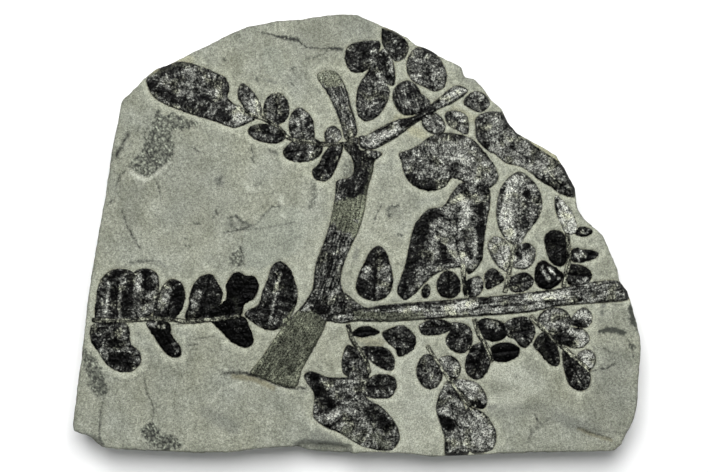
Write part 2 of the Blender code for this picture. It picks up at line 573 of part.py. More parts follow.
def split_feet():
    return [(drop, counter_clockwise(loop)) for drop, loop in SPLITS]


def slab_solid(leaf_outlines, look):
    """Slab with a pocket round the frond, broken ledges in its face, rough side walls and a flat back."""
    floors = union_loops([grown(loop, POCKET_MARGIN) for loop in leaf_outlines])
    rims = union_loops([grown(loop, POCKET_MARGIN + POCKET_BEVEL) for loop in leaf_outlines])
    feet = [foot for _, foot in split_feet()]
    crowns = [grown(foot, SPLIT_BEVEL) for foot in feet]
    edge = counter_clockwise(SLAB_OUTLINE)
    flat, triangles, sources = plane_mesh([edge], lines=[*floors, *rims, *feet, *crowns])
    top = [t for t, inside in zip(triangles, sources) if 0 in inside]
    used = sorted({i for t in top for i in t})
    order = {old: new for new, old in enumerate(used)}
    top = [[order[i] for i in t] for t in top]

    verts = []
    for old in used:
        p = flat[old]
        nearest = min(floors, key=lambda loop: distance_to_loop(p, loop))
        on_floor = distance_to_loop(p, nearest) < ON_LINE or any(is_inside(p, loop) for loop in floors
                                                                 if signed_area(loop) > 0)
        drop = max(POCKET_DEPTH if on_floor else 0.0, split_drop(p))
        verts.append((*p, SLAB_THICKNESS - drop))

    faces = top
    (rim,) = boundary_loops(verts, top)
    upper = rim
    inset_from = [verts[i] for i in rim]
    for share, inset, variation in WALL_LEVELS:
        lower = list(range(len(verts), len(verts) + len(rim)))
        for i, p in enumerate(inset_from):
            a, b = inset_from[i - 2], inset_from[(i + 2) % len(inset_from)]
            length = math.dist(a[:2], b[:2])
            wander = math.sin(WALL_WAVE * (p[0] + WALL_SLANT * p[1]) + WALL_TURN * share)
            depth = inset + variation * wander
            verts.append((p[0] - (b[1] - a[1]) / length * depth, p[1] + (b[0] - a[0]) / length * depth,
                          share * p[2]))
        for i in range(len(rim)):
            j = (i + 1) % len(rim)
            faces.append([upper[i], lower[i], lower[j], upper[j]])
        upper = lower
    faces.append(upper[::-1])
    return add_solid("slab", verts, faces, look)


def main():
    for thing in list(bpy.data.objects):
        bpy.data.objects.remove(thing)
    shale = material("shale", (0.38, 0.39, 0.33), 0.9)
    coal = material("coal", (0.03, 0.03, 0.028), 0.35)
    slab_limit = grown(counter_clockwise(SLAB_OUTLINE), -FILM_EDGE_INSET)
    leaf_outlines = [outline_of(shape) for shapes in FROND.values() for shape in shapes]
    slab_solid(leaf_outlines, shale)
    taken = []
    for name, shapes in FROND.items():
        film_solid(name, shapes, taken, slab_limit, coal)
        taken += [grown(outline_of(shape), FILM_CLEARANCE) for shape in shapes]


if __name__ == "__main__":
    main()
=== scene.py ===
"""The look of the fossil fern plate: split shale with a crinkled, glossy coal film, in soft studio light.

The tables hold millimetres on the fossil face, and MM turns them into metres.
Each leaflet, stalk and stem starts with its tone, from 0 for jet black to 1 for silver grey; the grey is
partly a painted sheen that stands in for light mirrored by the coal.
"""
import math

import bpy
import numpy as np
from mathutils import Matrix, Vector
from mathutils.geometry import delaunay_2d_cdt


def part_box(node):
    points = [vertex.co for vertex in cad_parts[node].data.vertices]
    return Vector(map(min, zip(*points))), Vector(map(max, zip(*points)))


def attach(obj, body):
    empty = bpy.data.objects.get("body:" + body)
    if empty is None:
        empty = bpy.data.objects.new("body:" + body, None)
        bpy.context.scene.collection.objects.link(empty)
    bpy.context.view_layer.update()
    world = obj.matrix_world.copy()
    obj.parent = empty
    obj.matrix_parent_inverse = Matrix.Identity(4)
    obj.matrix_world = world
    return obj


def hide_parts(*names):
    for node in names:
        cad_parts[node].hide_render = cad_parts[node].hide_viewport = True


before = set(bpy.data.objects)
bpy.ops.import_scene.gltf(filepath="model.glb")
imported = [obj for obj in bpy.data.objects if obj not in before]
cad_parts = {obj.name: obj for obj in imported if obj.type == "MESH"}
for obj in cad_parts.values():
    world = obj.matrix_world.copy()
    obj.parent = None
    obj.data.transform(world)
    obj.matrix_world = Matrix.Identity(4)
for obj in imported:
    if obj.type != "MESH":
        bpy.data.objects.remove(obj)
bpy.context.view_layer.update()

MM = 0.001
SLAB_CENTRE = (0.1, -0.35)   # middle of the outline in the tables; the part's origin lies under it
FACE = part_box("slab")[1].z / MM

FRAME_WIDTH = 219.48         # that the camera sees at the level of the face
FRAME_CENTRE = (-0.875, -0.115)

# Relief
POCKET_DEPTH = 0.62          # cleared ground beside the leaves, below the face
FLOOR = FACE - POCKET_DEPTH
FILM_FOOT = FLOOR - 0.3      # underside of the film, sunk into the shale
FILM_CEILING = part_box("main_stem")[1].z / MM - 0.03
FILM_THICKNESS = 0.5         # of a leaf along its midrib
STEM_THICKNESS = 1.05
FILM_GAP = 0.06              # left between the films of neighbouring pieces
FILM_INSET = 0.9             # of the film from the slab's edge
FILM_ROUNDING = 0.45         # how far in from its edge the film reaches its height
BEVEL_START = 0.1            # the pocket's wall rises from here, away from the leaf's edge,
BEVEL_END = 1.35             # to here
FACE_SPACING = 0.46          # of the points on the slab's face
HIDDEN_SPACING = 1.6         # and under the leaves
FILM_SPACING = 0.25          # of the points on the film
EDGE_SPACING = 0.3           # along a leaf's outline
WALL_SPACING = 0.8           # along the slab's side walls, and up them
BACK_SPACING = 3.0
LIMIT_SPACING = 0.6          # along the line near the slab's edge where the film ends
CRACK_SPACING = 0.35         # along a crack, in its middle and on both its sides
RIM_SPACING = 0.4            # on the shale along the leaves' edges
JITTER = 0.22                # how far points of a grid are moved, as a share of their spacing
SMALLEST_PATCH = 0.3         # outlines round less than this, in square millimetres, are left out
MERGE_DISTANCE = 0.005       # points closer than this are one point
LAYER = 1.35                 # thickness of the shale's layers

# Proportions
OVAL_POINTS = 16             # round an egg-shaped leaflet
OVAL_LEAN = 0.05             # how much nearer its foot it is broadest, as a share of its length
RIB_SHARES = (0.3, 0.6)      # of the way from a leaf's foot to its tip, where its midrib is bent
RIB_BEND = 0.6               # how far it is bent there towards the middle of the outline

# Painted colours, as screen values from 0 to 1
SHALE = (0.52, 0.53, 0.476)
FRESH_SHALE = (0.68, 0.69, 0.62)   # cleared ground beside the leaves
UNDER_FILM = (0.09, 0.09, 0.08)
WALL_TINT = (1.0, 1.01, 0.92)
WALL_RUST = (0.5, 0.45, 0.34)
CAST_TINT = (1.0, 1.03, 0.88)
MARKS = {
    "ghost": (0.325, 0.335, 0.3), "grey": (0.39, 0.40, 0.37), "cool": (0.53, 0.548, 0.5),
    "dark": (0.15, 0.16, 0.14), "pale": (0.7, 0.71, 0.655), "yellow": (0.63, 0.62, 0.5),
    "rust": (0.39, 0.37, 0.27),
}

# Broken edge of the slab, clockwise from the left end of its top edge
SLAB_OUTLINE = [
    (-73.2, 40.7), (-72.5, 42), (-70.6, 43.6), (-66, 48.6), (-62, 51.5), (-58, 53), (-54, 55), (-45, 59.5),
    (-38.5, 62.6), (-34, 64.6), (-24.5, 66.4), (-17, 66.9), (-10, 68), (-4, 68.4), (0, 68.3), (4, 66.7),
    (11, 63.6), (16, 61), (18.7, 58.8), (22, 58), (26, 55.3), (32.5, 52), (33.6, 49), (36.5, 48.3),
    (39, 46), (42, 41.5), (45, 39), (47.5, 34.5), (50, 31.6), (57, 27.5), (62, 24.6), (65, 20),
    (67.8, 14.5), (68.5, 8), (70.5, 5), (74.5, 1.6), (76.5, -0.5), (79.1, -6.3), (81.2, -10.6),
    (81.7, -14.2), (84.2, -17.8), (85.2, -21), (87.3, -28.5), (88.2, -33), (88.2, -36), (87.2, -52),
    (86.3, -56.8), (82.5, -65), (80, -67.2), (67, -67.5), (46, -68), (35, -68.6), (24, -69.1), (15, -68.1),
    (5, -67.6), (-5, -68.2), (-14.5, -67.6), (-20, -65.9), (-28.5, -66.3), (-36, -67.5), (-48, -68),
    (-60, -67.5), (-79.3, -66.3), (-83.5, -63.1), (-87.8, -61), (-88, -59), (-86.3, -44), (-84, -25),
    (-82.4, -13), (-80.2, 0), (-78, 12.5), (-76, 25),
]

# Ledges and chips where a layer of the shale has split away: drop below the face, and outline
SPLITS = [
    (5.0, [(-18.5, -65.7), (-17, -65.2), (-9, -65.4), (-3, -66.3), (-2.5, -69), (-18, -68.5)]),
    (3.0, [(-84.5, -64.5), (-84, -62.6), (-81.5, -63.6), (-78.8, -65.7), (-78.5, -68)]),
    (0.45, [(56, -60.5), (62, -58.2), (70, -60.4), (82, -62), (88, -60), (84, -70), (53, -70), (54, -63)]),
]

# Cracks and grooves in the face: depth, width, how dark the line is as painted shade in the crevice, and its
# course
CRACKS = [
    (0.25, 0.5, 0.59, [(-72.8, 7.5), (-71.3, 3), (-70, 0.5), (-68, -3), (-67, -4.7)]),
    (0.4, 1.1, 0.65, [(-70.8, 31.5), (-72.5, 28), (-73, 27), (-74.5, 24.5), (-76, 23.5)]),
    (0.2, 0.5, 0.45, [(-71.5, 19.7), (-73.3, 18.5), (-74.5, 15)]),
    (0.2, 0.5, 0.45, [(-75.5, 11), (-77.5, 8.7)]),
    (0.15, 0.4, 0.65, [(-67, 34), (-68.5, 31.2)]),
    (0.15, 0.4, 0.59, [(-65, 33), (-65.8, 31)]),
    (0.15, 0.4, 0.59, [(-69.5, 29), (-70.5, 27.5)]),
    (0.15, 0.5, 0.65, [(-66, 26.5), (-62.8, 22.8)]),
    (0.2, 0.4, 0.45, [(-62.5, 17.3), (-61, 13.5), (-60.8, 11)]),
    (0.15, 0.35, 0.72, [(-51, 27), (-49.5, 26), (-47.5, 25.3)]),
    (0.15, 0.4, 0.52, [(-33, 28), (-31.7, 24)]),
    (0.15, 0.5, 0.52, [(-27.5, 26.5), (-24.5, 25)]),
    (0.15, 0.4, 0.26, [(-70, -9.5), (-67, -8.8), (-63, -9), (-61, -10)]),
    (0.1, 0.4, 0.45, [(-57, -28), (-50, -27.2), (-44, -27)]),
    (0.1, 0.4, 0.39, [(-50, -32.5), (-44, -31.5)]),
    (0.1, 0.4, 0.39, [(-53, -34.7), (-49, -34)]),
    (0.25, 0.5, 0.45, [(-78.3, -50.5), (-79.3, -55), (-79.7, -60), (-79.8, -63)]),
    (0.2, 0.4, 0.39, [(-66, -43), (-65, -49.5), (-63.3, -52.5), (-62.8, -54.5), (-63.2, -57.5)]),
    (0.15, 0.5, 0.2, [(-77, -44), (-73, -45.5), (-69, -45), (-66, -43.5)]),
    (0.3, 0.9, 0.75, [(-41.5, -43), (-36, -42.9), (-34, -43.2), (-31, -44.3), (-28, -44.8), (-25.5, -46),
                      (-23, -47.1), (-20, -47.5), (-15, -47.7)]),
    (0.15, 1.1, 0.28, [(60, -57.3), (56.5, -59), (54.4, -61), (53.2, -64.3)]),
    (0.08, 0.35, 0.3, [(-36.5, 1.2), (-27.2, 2.2), (-19.3, 3.8)]),
    (0.06, 0.35, 0.25, [(-24.5, -3.6), (-18.6, -0.9), (-15, -0.4)]),
    (0.2, 0.5, 0.45, [(68.5, -59.5), (71, -61), (74.5, -62), (79, -63.2)]),
    (0.1, 0.6, 0.65, [(55.5, -56), (56.5, -58.5)]),
    (0.1, 0.5, 0.65, [(72.8, -42.6), (75, -41.6), (77.5, -41.7), (80.2, -39.8)]),
    (0.1, 0.5, 0.52, [(76, -35), (80, -37)]),
    (0.1, 0.5, 0.1, [(-28, 9), (-25, 15), (-24, 22)]),
    (0.12, 0.4, 0.45, [(-41, 0.6), (-35, 1.8), (-31, 3.2), (-28.5, 6.3), (-26, 8.6), (-23.3, 8.8)]),
    (0.1, 0.4, 0.65, [(-29.4, 62.7), (-23.3, 61.2), (-18.5, 60.4), (-15.5, 58), (-11, 57.7), (-4.6, 57.7)]),
    (0.1, 0.4, 0.39, [(8.5, 10), (6.3, 6.4), (5, 2.5)]),
    (0.05, 0.35, 0.45, [(84, -32), (85.3, -35), (86, -38.5)]),
]

# Low steps: height of the side on the line's left above its right, how far away it dies out, and its course
STEPS = [
    (0.55, 9, [(-41.5, -43), (-36, -42.9), (-34, -43.2), (-31, -44.3), (-28, -44.8), (-25.5, -46),
               (-23, -47.1), (-20, -47.5), (-15, -47.7)]),
    (0.35, 12, [(-48, -57), (-45, -52), (-42, -48), (-36, -46)]),
    (0.3, 14, [(76, -61), (69, -59.6), (63, -58), (56, -55), (45, -54)]),
    (0.3, 8, [(-61, -10), (-63, -9), (-67, -8.8), (-70, -9.5)]),
    (0.3, 10, [(-66, -43), (-65, -49.5), (-63.3, -52.5), (-62.8, -54.5), (-63.2, -57.5)]),
]

# Marks that are only colour on the face. Areas are closed outlines and strokes are lines with a width.
# Kinds: ghost, the speckled grey of a leaf's imprint; grey, cool, dark, pale, yellow and rust.
AREAS = [
    ("ghost", 0.9, [(-61.3, 38.5), (-60.2, 37), (-57, 37.8), (-52, 35.5), (-49.5, 34.6), (-51, 33.4),
                    (-53.5, 32.6), (-57, 32.5), (-56.8, 28.5), (-56.5, 26), (-57.5, 23.5), (-61.5, 20),
                    (-64, 17.6), (-68, 18.8), (-69.8, 20.5), (-69.9, 22.5), (-67, 25.5), (-65.8, 28.5),
                    (-66, 30), (-64.5, 31), (-62.8, 35.5)]),
    ("pale", 0.8, [(-71, 19.5), (-69, 17.5), (-66, 16.2), (-63.5, 17), (-60, 19.8), (-57.5, 22.5),
                   (-61.5, 20), (-64, 17.6), (-68, 18.8), (-69.8, 20.5)]),
    ("ghost", 0.8, [(-85, -35.5), (-82, -37), (-79, -42), (-77, -47.5), (-77.8, -50), (-81.8, -49),
                    (-84, -42), (-85, -38.5)]),
    ("ghost", 1.0, [(-66.8, -60.5), (-64, -58.3), (-62.5, -58.8), (-60.3, -62), (-57.5, -62.3), (-54, -65),
                    (-57, -67), (-60, -66.8), (-64, -65)]),
    ("ghost", 0.75, [(-35.7, -3.4), (-38.4, -6.2), (-39.8, -7.6), (-38.8, -9.3), (-35.6, -10), (-34.7, -5)]),
    ("cool", 0.5, [(-29, 57.5), (-24, 58), (-22, 52), (-24, 48.5), (-28, 50)]),
    ("cool", 0.6, [(-35, 1.5), (-32, 3), (-29, 6), (-26, 8.5), (-18, 8), (-15, 3), (-18, -5), (-33, -10)]),
    ("dark", 0.8, [(85, -21.5), (87, -29.5), (84.8, -27.5), (84.3, -25)]),
    ("dark", 0.8, [(75, -30.2), (77.2, -28.7), (80.7, -28.9), (83.6, -30), (82.7, -31.5), (80.2, -30.4),
                   (77.2, -30.7)]),
    ("grey", 0.85, [(76, -21.3), (77.2, -21.7), (76, -25.2)]),
    ("grey", 0.4, [(-12.6, -60.5), (-8, -62), (-4, -65.5), (-9, -66), (-14, -65)]),
]
STROKES = [
    ("pale", 0.35, 22, [(14, -42), (16, -60)]),
    ("pale", 0.5, 6, [(44, -42.5), (51, -44.5)]),
    # painted light and painted shade on the low swells of the lower right: the pale stroke is their lit side,
    # the grey strokes their shaded side
    ("pale", 0.45, 5, [(42.5, -52.3), (49, -50.5), (56, -46.5)]),
    ("grey", 0.3, 4, [(42, -55), (57, -54), (65, -58), (74, -61)]),
    ("grey", 0.35, 2.5, [(62, -56.5), (71, -59.5)]),
    ("pale", 0.2, 14, [(10, 22), (9, 2)]),
    ("pale", 0.3, 8, [(-14, 12), (-14, -2), (-17, -12)]),
    ("pale", 0.12, 20, [(-30, 17), (-36, 12)]),
    ("pale", 0.12, 14, [(-62, -3), (-48, -2)]),
    ("grey", 0.25, 14, [(79, -43), (78, -58)]),
    ("grey", 0.18, 18, [(-54, 18), (-48, 10)]),
    ("grey", 0.2, 14, [(-12, 62), (0, 60)]),
    ("dark", 0.9, 0.7, [(13.2, 9), (11, 8.6), (9.7, 7.5), (10.8, 6.2), (10, 5.6)]),
    ("grey", 0.35, 3.5, [(10.5, 7.5), (12.5, 7)]),
    ("dark", 0.8, 0.7, [(13, 0), (14.2, -0.4)]),
    ("grey", 0.7, 1.8, [(-43, 17), (-42, 15.8)]),
    ("dark", 0.6, 0.6, [(-50.5, 3.5), (-48.8, 3.2)]),
    ("dark", 0.75, 0.8, [(-39.8, 5.2), (-37.4, 5.7), (-35.3, 3.7), (-32.6, 3.3)]),
    ("dark", 0.6, 0.8, [(-39, 4.4), (-38.5, 2.4), (-35.5, 1.3), (-33.5, 2.9)]),
    ("dark", 0.5, 0.9, [(-32.3, 24), (-32, 22.6)]),
    ("dark", 0.5, 0.8, [(-43.3, 15.6), (-41.8, 18)]),
    ("dark", 0.5, 0.6, [(-31.3, 15.2), (-29.5, 16.2)]),
    ("pale", 0.5, 2, [(-34, 15), (-32.5, 14)]),
    ("dark", 0.7, 0.7, [(-43.6, 7.5), (-43.2, 6.2), (-44.2, 5.4)]),
    ("pale", 0.5, 1.6, [(-23.4, 6), (-22.6, 5.6)]),
    ("grey", 0.6, 1.6, [(0.2, -4.5), (-0.5, -7)]),
    ("ghost", 0.5, 3.2, [(-2.2, 22), (-2.9, 18.8)]),
    ("dark", 0.5, 0.7, [(79.5, -21.8), (82.5, -21.7)]),
    ("dark", 0.6, 0.6, [(73.6, -35.3), (74.6, -35.5)]),
    ("dark", 0.5, 0.8, [(48.8, -43.9), (49.4, -44.1)]),
    ("grey", 0.6, 1.2, [(41, -53.8), (43, -53.3)]),
    ("grey", 0.35, 2.5, [(-39, 3.5), (-34, 3)]),
    ("pale", 0.7, 1.3, [(-23.3, 11.8), (-23.6, 10)]),
    ("dark", 0.45, 1.8, [(-13.5, 16), (-13, 12), (-14, 8.5)]),
    ("dark", 0.6, 0.6, [(-53, -1), (-52.6, -2)]),
    ("dark", 0.7, 0.6, [(-53, -3.5), (-51.7, -3.8)]),
    ("dark", 0.9, 0.8, [(-41, 54.3), (-39.9, 53.5)]),
    ("dark", 0.8, 0.6, [(-31, 48.5), (-30.4, 47.6)]),
    ("grey", 0.7, 0.7, [(-28.5, 48.2), (-25, 47)]),
    ("dark", 0.7, 0.6, [(-20, 51.7), (-19, 51.8)]),
    ("dark", 0.7, 0.6, [(-20.5, 47.5), (-19.7, 46.2)]),
    ("dark", 0.6, 0.6, [(-22.5, 46), (-23, 45)]),
    ("dark", 0.6, 0.8, [(-12, 45), (-11, 44)]),
    ("dark", 0.7, 1.0, [(-8, 57.7), (-4.5, 57.4)]),
    ("dark", 0.75, 1.3, [(-24.5, 61.6), (-21.5, 60.8), (-18.5, 60.4)]),
    ("dark", 0.4, 0.7, [(-15.5, 54.6), (-12.5, 55), (-9.5, 57)]),
    ("dark", 0.5, 0.8, [(-7, 35.5), (-6.6, 34.6)]),
    ("dark", 0.8, 1.2, [(85, -34.8), (86, -34.8)]),
    ("rust", 0.55, 1.6, [(-38, -44.2), (-33, -44.6), (-29, -46), (-26, -47.6)]),
    ("rust", 0.5, 1.0, [(69, -60.3), (74.5, -62.6), (79, -63.8)]),
    ("grey", 0.55, 0.7, [(-72, -9.3), (-66.5, -7.8), (-61, -8.5), (-59, -10)]),
    ("pale", 0.6, 0.9, [(-36, -46), (-42, -48), (-45, -52), (-48, -57)]),
    ("grey", 0.45, 4.0, [(-47, -55), (-38, -60)]),
    ("grey", 0.25, 6.0, [(-70, 5), (-68, 14)]),
    ("dark", 0.6, 0.8, [(-79, -65), (-79.8, -63)]),
    ("rust", 0.35, 2.5, [(1, -31.9), (4, -33.2), (7.5, -33.5)]),
    ("dark", 0.35, 2.6, [(-80.6, -43.5), (-78.6, -48.4)]),
    ("yellow", 0.5, 3, [(17.5, 32.2), (20.5, 31)]),
    ("yellow", 0.45, 2.5, [(12.5, 35.8), (18, 37.2)]),
    ("yellow", 0.35, 3, [(30.5, 38.5), (36, 36)]),
    ("dark", 0.5, 0.7, [(-70, -8.5), (-63.5, -8.2)]),
    ("yellow", 0.6, 3.5, [(55, 27.5), (62, 23.5)]),
    ("yellow", 0.45, 3.0, [(-62, 51), (-52, 54)]),
]

# Middle lines of the stems, along which their grain runs
STEM_LINES = {
    "main_stem": [(1, 29), (2, 22), (-1, 14), (-3, 6), (-6.5, -6), (-9.3, -16), (-13, -25), (-19, -35),
                  (-26, -45)],
    "stem_tip": [(-1.5, 29.5), (-2.5, 32), (-4.2, 39), (-7.5, 46.5), (-10, 50.5)],
    "branch_upper_right": [(1, 28.5), (4, 28.8), (10, 31.8), (16, 35.2), (22, 38.2), (31, 43.5)],
    "branch_lower_right": [(-6, -24.8), (0, -24.5), (8, -24.6), (20, -23.8), (34, -23), (48, -21.7),
                           (60, -19.9), (72, -18.8), (84, -17)],
}

# Patches on the film that are lighter or darker than their leaf, the lighter ones partly a painted sheen:
# tone from 0 to 1.3, width, and course
SHEEN_AND_TONE_PATCHES = [
    (1.0, 4.5, [(-38, 35.2), (-36.5, 37.5)]), (1.0, 2.2, [(-53, 52), (-51.5, 50.8)]),
    (0.15, 3.0, [(-63, 46), (-58, 42.5), (-48, 38.5)]), (0.15, 3.5, [(-60, 50.5), (-55, 52)]),
    (0.1, 3.0, [(-41.5, 38), (-40, 36)]), (0.1, 1.0, [(-48.5, 43), (-40, 39.5)]),
    (1.0, 3.0, [(-32, 38.5), (-31, 41)]), (0.3, 2.0, [(-36, 43), (-35, 46)]),
    (1.0, 2.5, [(-17.8, 33.5), (-17, 36.5)]), (0.1, 1.5, [(-14.3, 31), (-14.5, 36)]),
    (0.15, 2.5, [(-22, 32.5), (-23, 35.5)]), (0.1, 5.0, [(0, 26), (-3, 14), (-1.5, 10.5)]),
    (0.1, 4.5, [(2.5, 13), (4, 22)]), (0.3, 5.5, [(-6.5, -2), (-8.5, -10), (-11.5, -20)]),
    (0.0, 3.2, [(-12.5, -23.3), (-9.5, -23.3)]), (0.25, 3.0, [(-6, -22), (2, -24.5), (8, -24)]),
    (1.1, 2.6, [(-3.4, 24), (-3.2, 18.5)]), (0.2, 1.2, [(-15.5, -20), (-24, -30.5), (-33, -43)]),
    (0.2, 1.0, [(-8, -25.5), (-13, -35), (-18.5, -46)]), (1.1, 1.1, [(26, 42), (33, 44.5)]),
    (1.1, 1.1, [(21, 37), (30, 40.6)]), (0.35, 2.2, [(31.5, 47), (37.5, 46.8)]),
    (0.1, 0.9, [(6, 32), (18, 36.6), (25, 41)]), (0.1, 0.9, [(7.5, 28), (18, 34.8), (28, 40)]),
    (1.0, 1.6, [(5, 29.2), (13, 32.6)]), (0.1, 2.4, [(14.5, 34.2), (19, 36.2), (23.5, 39)]),
    (0.9, 1.3, [(8.7, 57.5), (11.5, 54)]), (0.9, 1.3, [(6.3, 49.8), (9.7, 46)]),
    (0.7, 2.0, [(15.5, 40), (16.5, 41.5)]), (0.1, 1.0, [(23.5, 45), (21, 57)]),
    (0.1, 1.2, [(33.5, 42.5), (40, 43)]), (0.2, 3.0, [(59, 17), (66, 13)]),
    (0.25, 2.5, [(40, 28), (38.3, 35)]), (0.1, 5.0, [(17, 16.5), (22, 15.5)]),
    (0.85, 4.0, [(28, 27.5), (33, 25), (37, 20)]), (0.1, 5.5, [(15.5, -14), (17.5, -5), (20, 3)]),
    (0.1, 3.5, [(20, 5), (25, 6.5)]), (1.0, 3.6, [(32.6, 11), (34.2, 7), (33, 4)]),
    (1.0, 3.4, [(30, -4.6), (34, -8.6), (37.6, -2.5)]), (0.75, 2.6, [(29.4, 7.6), (29.8, 5)]),
    (0.05, 2.5, [(38.5, 9), (38.8, 2), (38.8, -5)]), (1.1, 1.1, [(24.5, -1), (29, -4)]),
    (1.1, 1.0, [(23, 3), (27, 0.5)]), (0.1, 2.2, [(26.2, -3), (27.5, -8)]),
    (0.1, 1.8, [(34.6, -4.4), (35.4, -7)]), (0.05, 4.0, [(34.5, -17), (34.6, -15)]),
    (0.85, 3.5, [(37.5, -17), (37.3, -14.5)]), (0.05, 2.6, [(53, 13), (53, 8), (52.2, 2.5)]),
    (1.0, 3.0, [(47.5, 17.5), (50, 17)]), (1.05, 3.5, [(46.5, 14), (46.5, 4), (48, 0)]),
    (0.75, 3.0, [(55.5, 11), (54.8, 5)]), (0.2, 1.0, [(43.8, 7), (46, 15)]),
    (0.2, 2.2, [(50.5, -6), (52.5, -4)]), (1.2, 0.9, [(57.5, -10.5), (59.5, -14)]),
    (1.1, 0.9, [(60, -10.5), (62.5, -13.5)]), (0.2, 1.0, [(62.6, 5), (61.8, 11)]),
    (1.2, 0.9, [(70, 0.6), (71.5, 1.2)]), (1.2, 1.0, [(68, -6.5), (71, -6.2)]),
    (1.2, 1.4, [(70, -15), (71.7, -13.5)]), (1.1, 1.8, [(13.5, -23.4), (20, -22.9)]),
    (1.1, 2.2, [(27, -22.7), (36.5, -21.8)]), (0.5, 2.2, [(38.5, -20.6), (51, -19.8)]),
    (1.1, 2.1, [(53, -19.8), (65.5, -18.5)]), (0.75, 3.4, [(71, -18.9), (84, -17)]),
    (0.1, 0.8, [(3, -22.9), (12, -22.2), (24, -21.4), (30, -20.9)]),
    (0.1, 0.7, [(37, -22.9), (52, -21.6), (70, -20)]), (0.15, 0.8, [(6, -26.8), (33, -25.6), (54, -23.8)]),
    (0.9, 1.6, [(24, -24.6), (36, -24), (50, -22.8), (58, -21.9)]),
    (0.75, 2.6, [(41.2, -27.6), (43.3, -28.6)]), (0.1, 3.0, [(69, -28), (72, -27.8)]),
    (1.1, 3.0, [(69.5, -24.5), (72, -25)]), (0.1, 4.0, [(62.5, -32), (65.5, -32.3)]),
    (1.1, 2.5, [(69.5, -31), (70, -33.5)]), (0.75, 3.5, [(-4, -60), (-1, -64)]),
    (0.75, 3.5, [(5, -62), (9, -65.5)]), (0.1, 4.0, [(4, -55), (10, -60)]),
    (0.1, 4.0, [(-13, -46), (-9, -52)]), (0.9, 0.9, [(-2, -45), (2, -56), (6, -65)]),
    (0.0, 3.2, [(36.5, -52.8), (39.5, -53.5)]), (0.0, 4.0, [(26.5, -58), (29, -59)]),
    (0.1, 2.5, [(27, -64), (27.5, -67)]), (0.9, 2.4, [(2.4, -12.8), (3.6, -10.8)]),
    (0.75, 3.0, [(8.5, -17), (8.8, -10)]), (0.85, 0.8, [(6.5, -20), (7, -5)]),
    (1.1, 0.8, [(-77.5, -24), (-77, -15)]), (1.0, 0.8, [(-73.5, -25), (-73, -14)]),
    (0.1, 3.5, [(-71.3, -24), (-71, -14)]), (0.1, 3.5, [(-65.5, -12.5), (-64, -16)]),
    (0.6, 4.0, [(-66.5, -24), (-66, -20)]), (1.2, 1.0, [(-68, -15), (-67.5, -17)]),
    (0.0, 3.0, [(-55.5, -24), (-55, -17)]), (0.85, 3.0, [(-60, -22), (-58.5, -17)]),
    (0.7, 2.4, [(-50.4, -24), (-49.2, -18.5)]), (0.05, 4.5, [(-74.5, -38.7), (-71.5, -39.3)]),
    (1.0, 1.2, [(-64.5, -27.8), (-60, -28.5)]), (0.3, 1.2, [(-57, -33), (-56, -36.5)]),
    (1.0, 0.9, [(-27, -27), (-24.5, -17)]), (1.0, 0.9, [(-26, -20), (-23.5, -12)]),
]

# Where the coal has gone and the smooth brown-grey cast shows: how bare, its grey, width, and course
WORN = [
    (1.0, 0.33, 7.0, [(-8.5, 6.8), (-4, 7.3), (3.5, 9)]),
    (1.0, 0.29, 4.5, [(-4.5, 3.2), (-1.5, 2.4)]),
    (0.8, 0.39, 2.0, [(-8.2, 9.5), (-8.8, 5)]),
    (0.8, 0.4, 2.0, [(3.3, 11.5), (0.6, 2), (-0.3, 0)]),
    (0.95, 0.25, 13.5, [(-15.6, -30.3), (-20, -36), (-26, -43.5)]),
    (0.95, 0.3, 5.0, [(-15.5, -27.5), (-12, -29.5)]),
    (0.9, 0.37, 2.6, [(-16.5, -41), (-19.5, -46.5)]),
    (0.8, 0.32, 4.0, [(-21, -46), (-29, -44.5)]),
    (0.75, 0.3, 2.6, [(0, -24.8), (8, -25.6), (20, -25.2)]),
    (0.3, 0.3, 1.2, [(57, -33), (59, -38)]),
    (0.5, 0.3, 3.0, [(-3, -61), (-0.5, -64)]),
    (0.5, 0.3, 3.0, [(6, -62.5), (9, -65)]),
    (0.55, 0.3, 1.6, [(31.5, 47), (37.5, 46.8)]),
    (0.25, 0.3, 1.4, [(-36.5, -24), (-38, -20)]),
    (0.5, 0.3, 2.0, [(-63, 50), (-58, 52)]),
    (0.7, 0.44, 6.5, [(-12.5, 50.8), (-8, 48.6)]),
    (0.85, 0.44, 1.6, [(-19.1, -23.4), (-26, -33), (-33, -42.6)]),
    (0.55, 0.4, 1.4, [(5, 21.5), (2.8, 11), (0.3, 3)]),
    (0.45, 0.36, 1.6, [(-57, 52.8), (-51.5, 52.5)]),
]


def blade(tone, *points):
    """A leaflet by its outline, from its foot and round it."""
    return {"kind": "blade", "tone": tone, "points": points}


def oval(tone, foot, tip, width):
    """An egg-shaped leaflet by its foot, its tip and its greatest width."""
    return {"kind": "oval", "tone": tone, "points": (foot, tip), "width": width}


def strand(tone, width, *points):
    """A thin stalk or axis along a row of points."""
    return {"kind": "strand", "tone": tone, "points": points, "width": width}


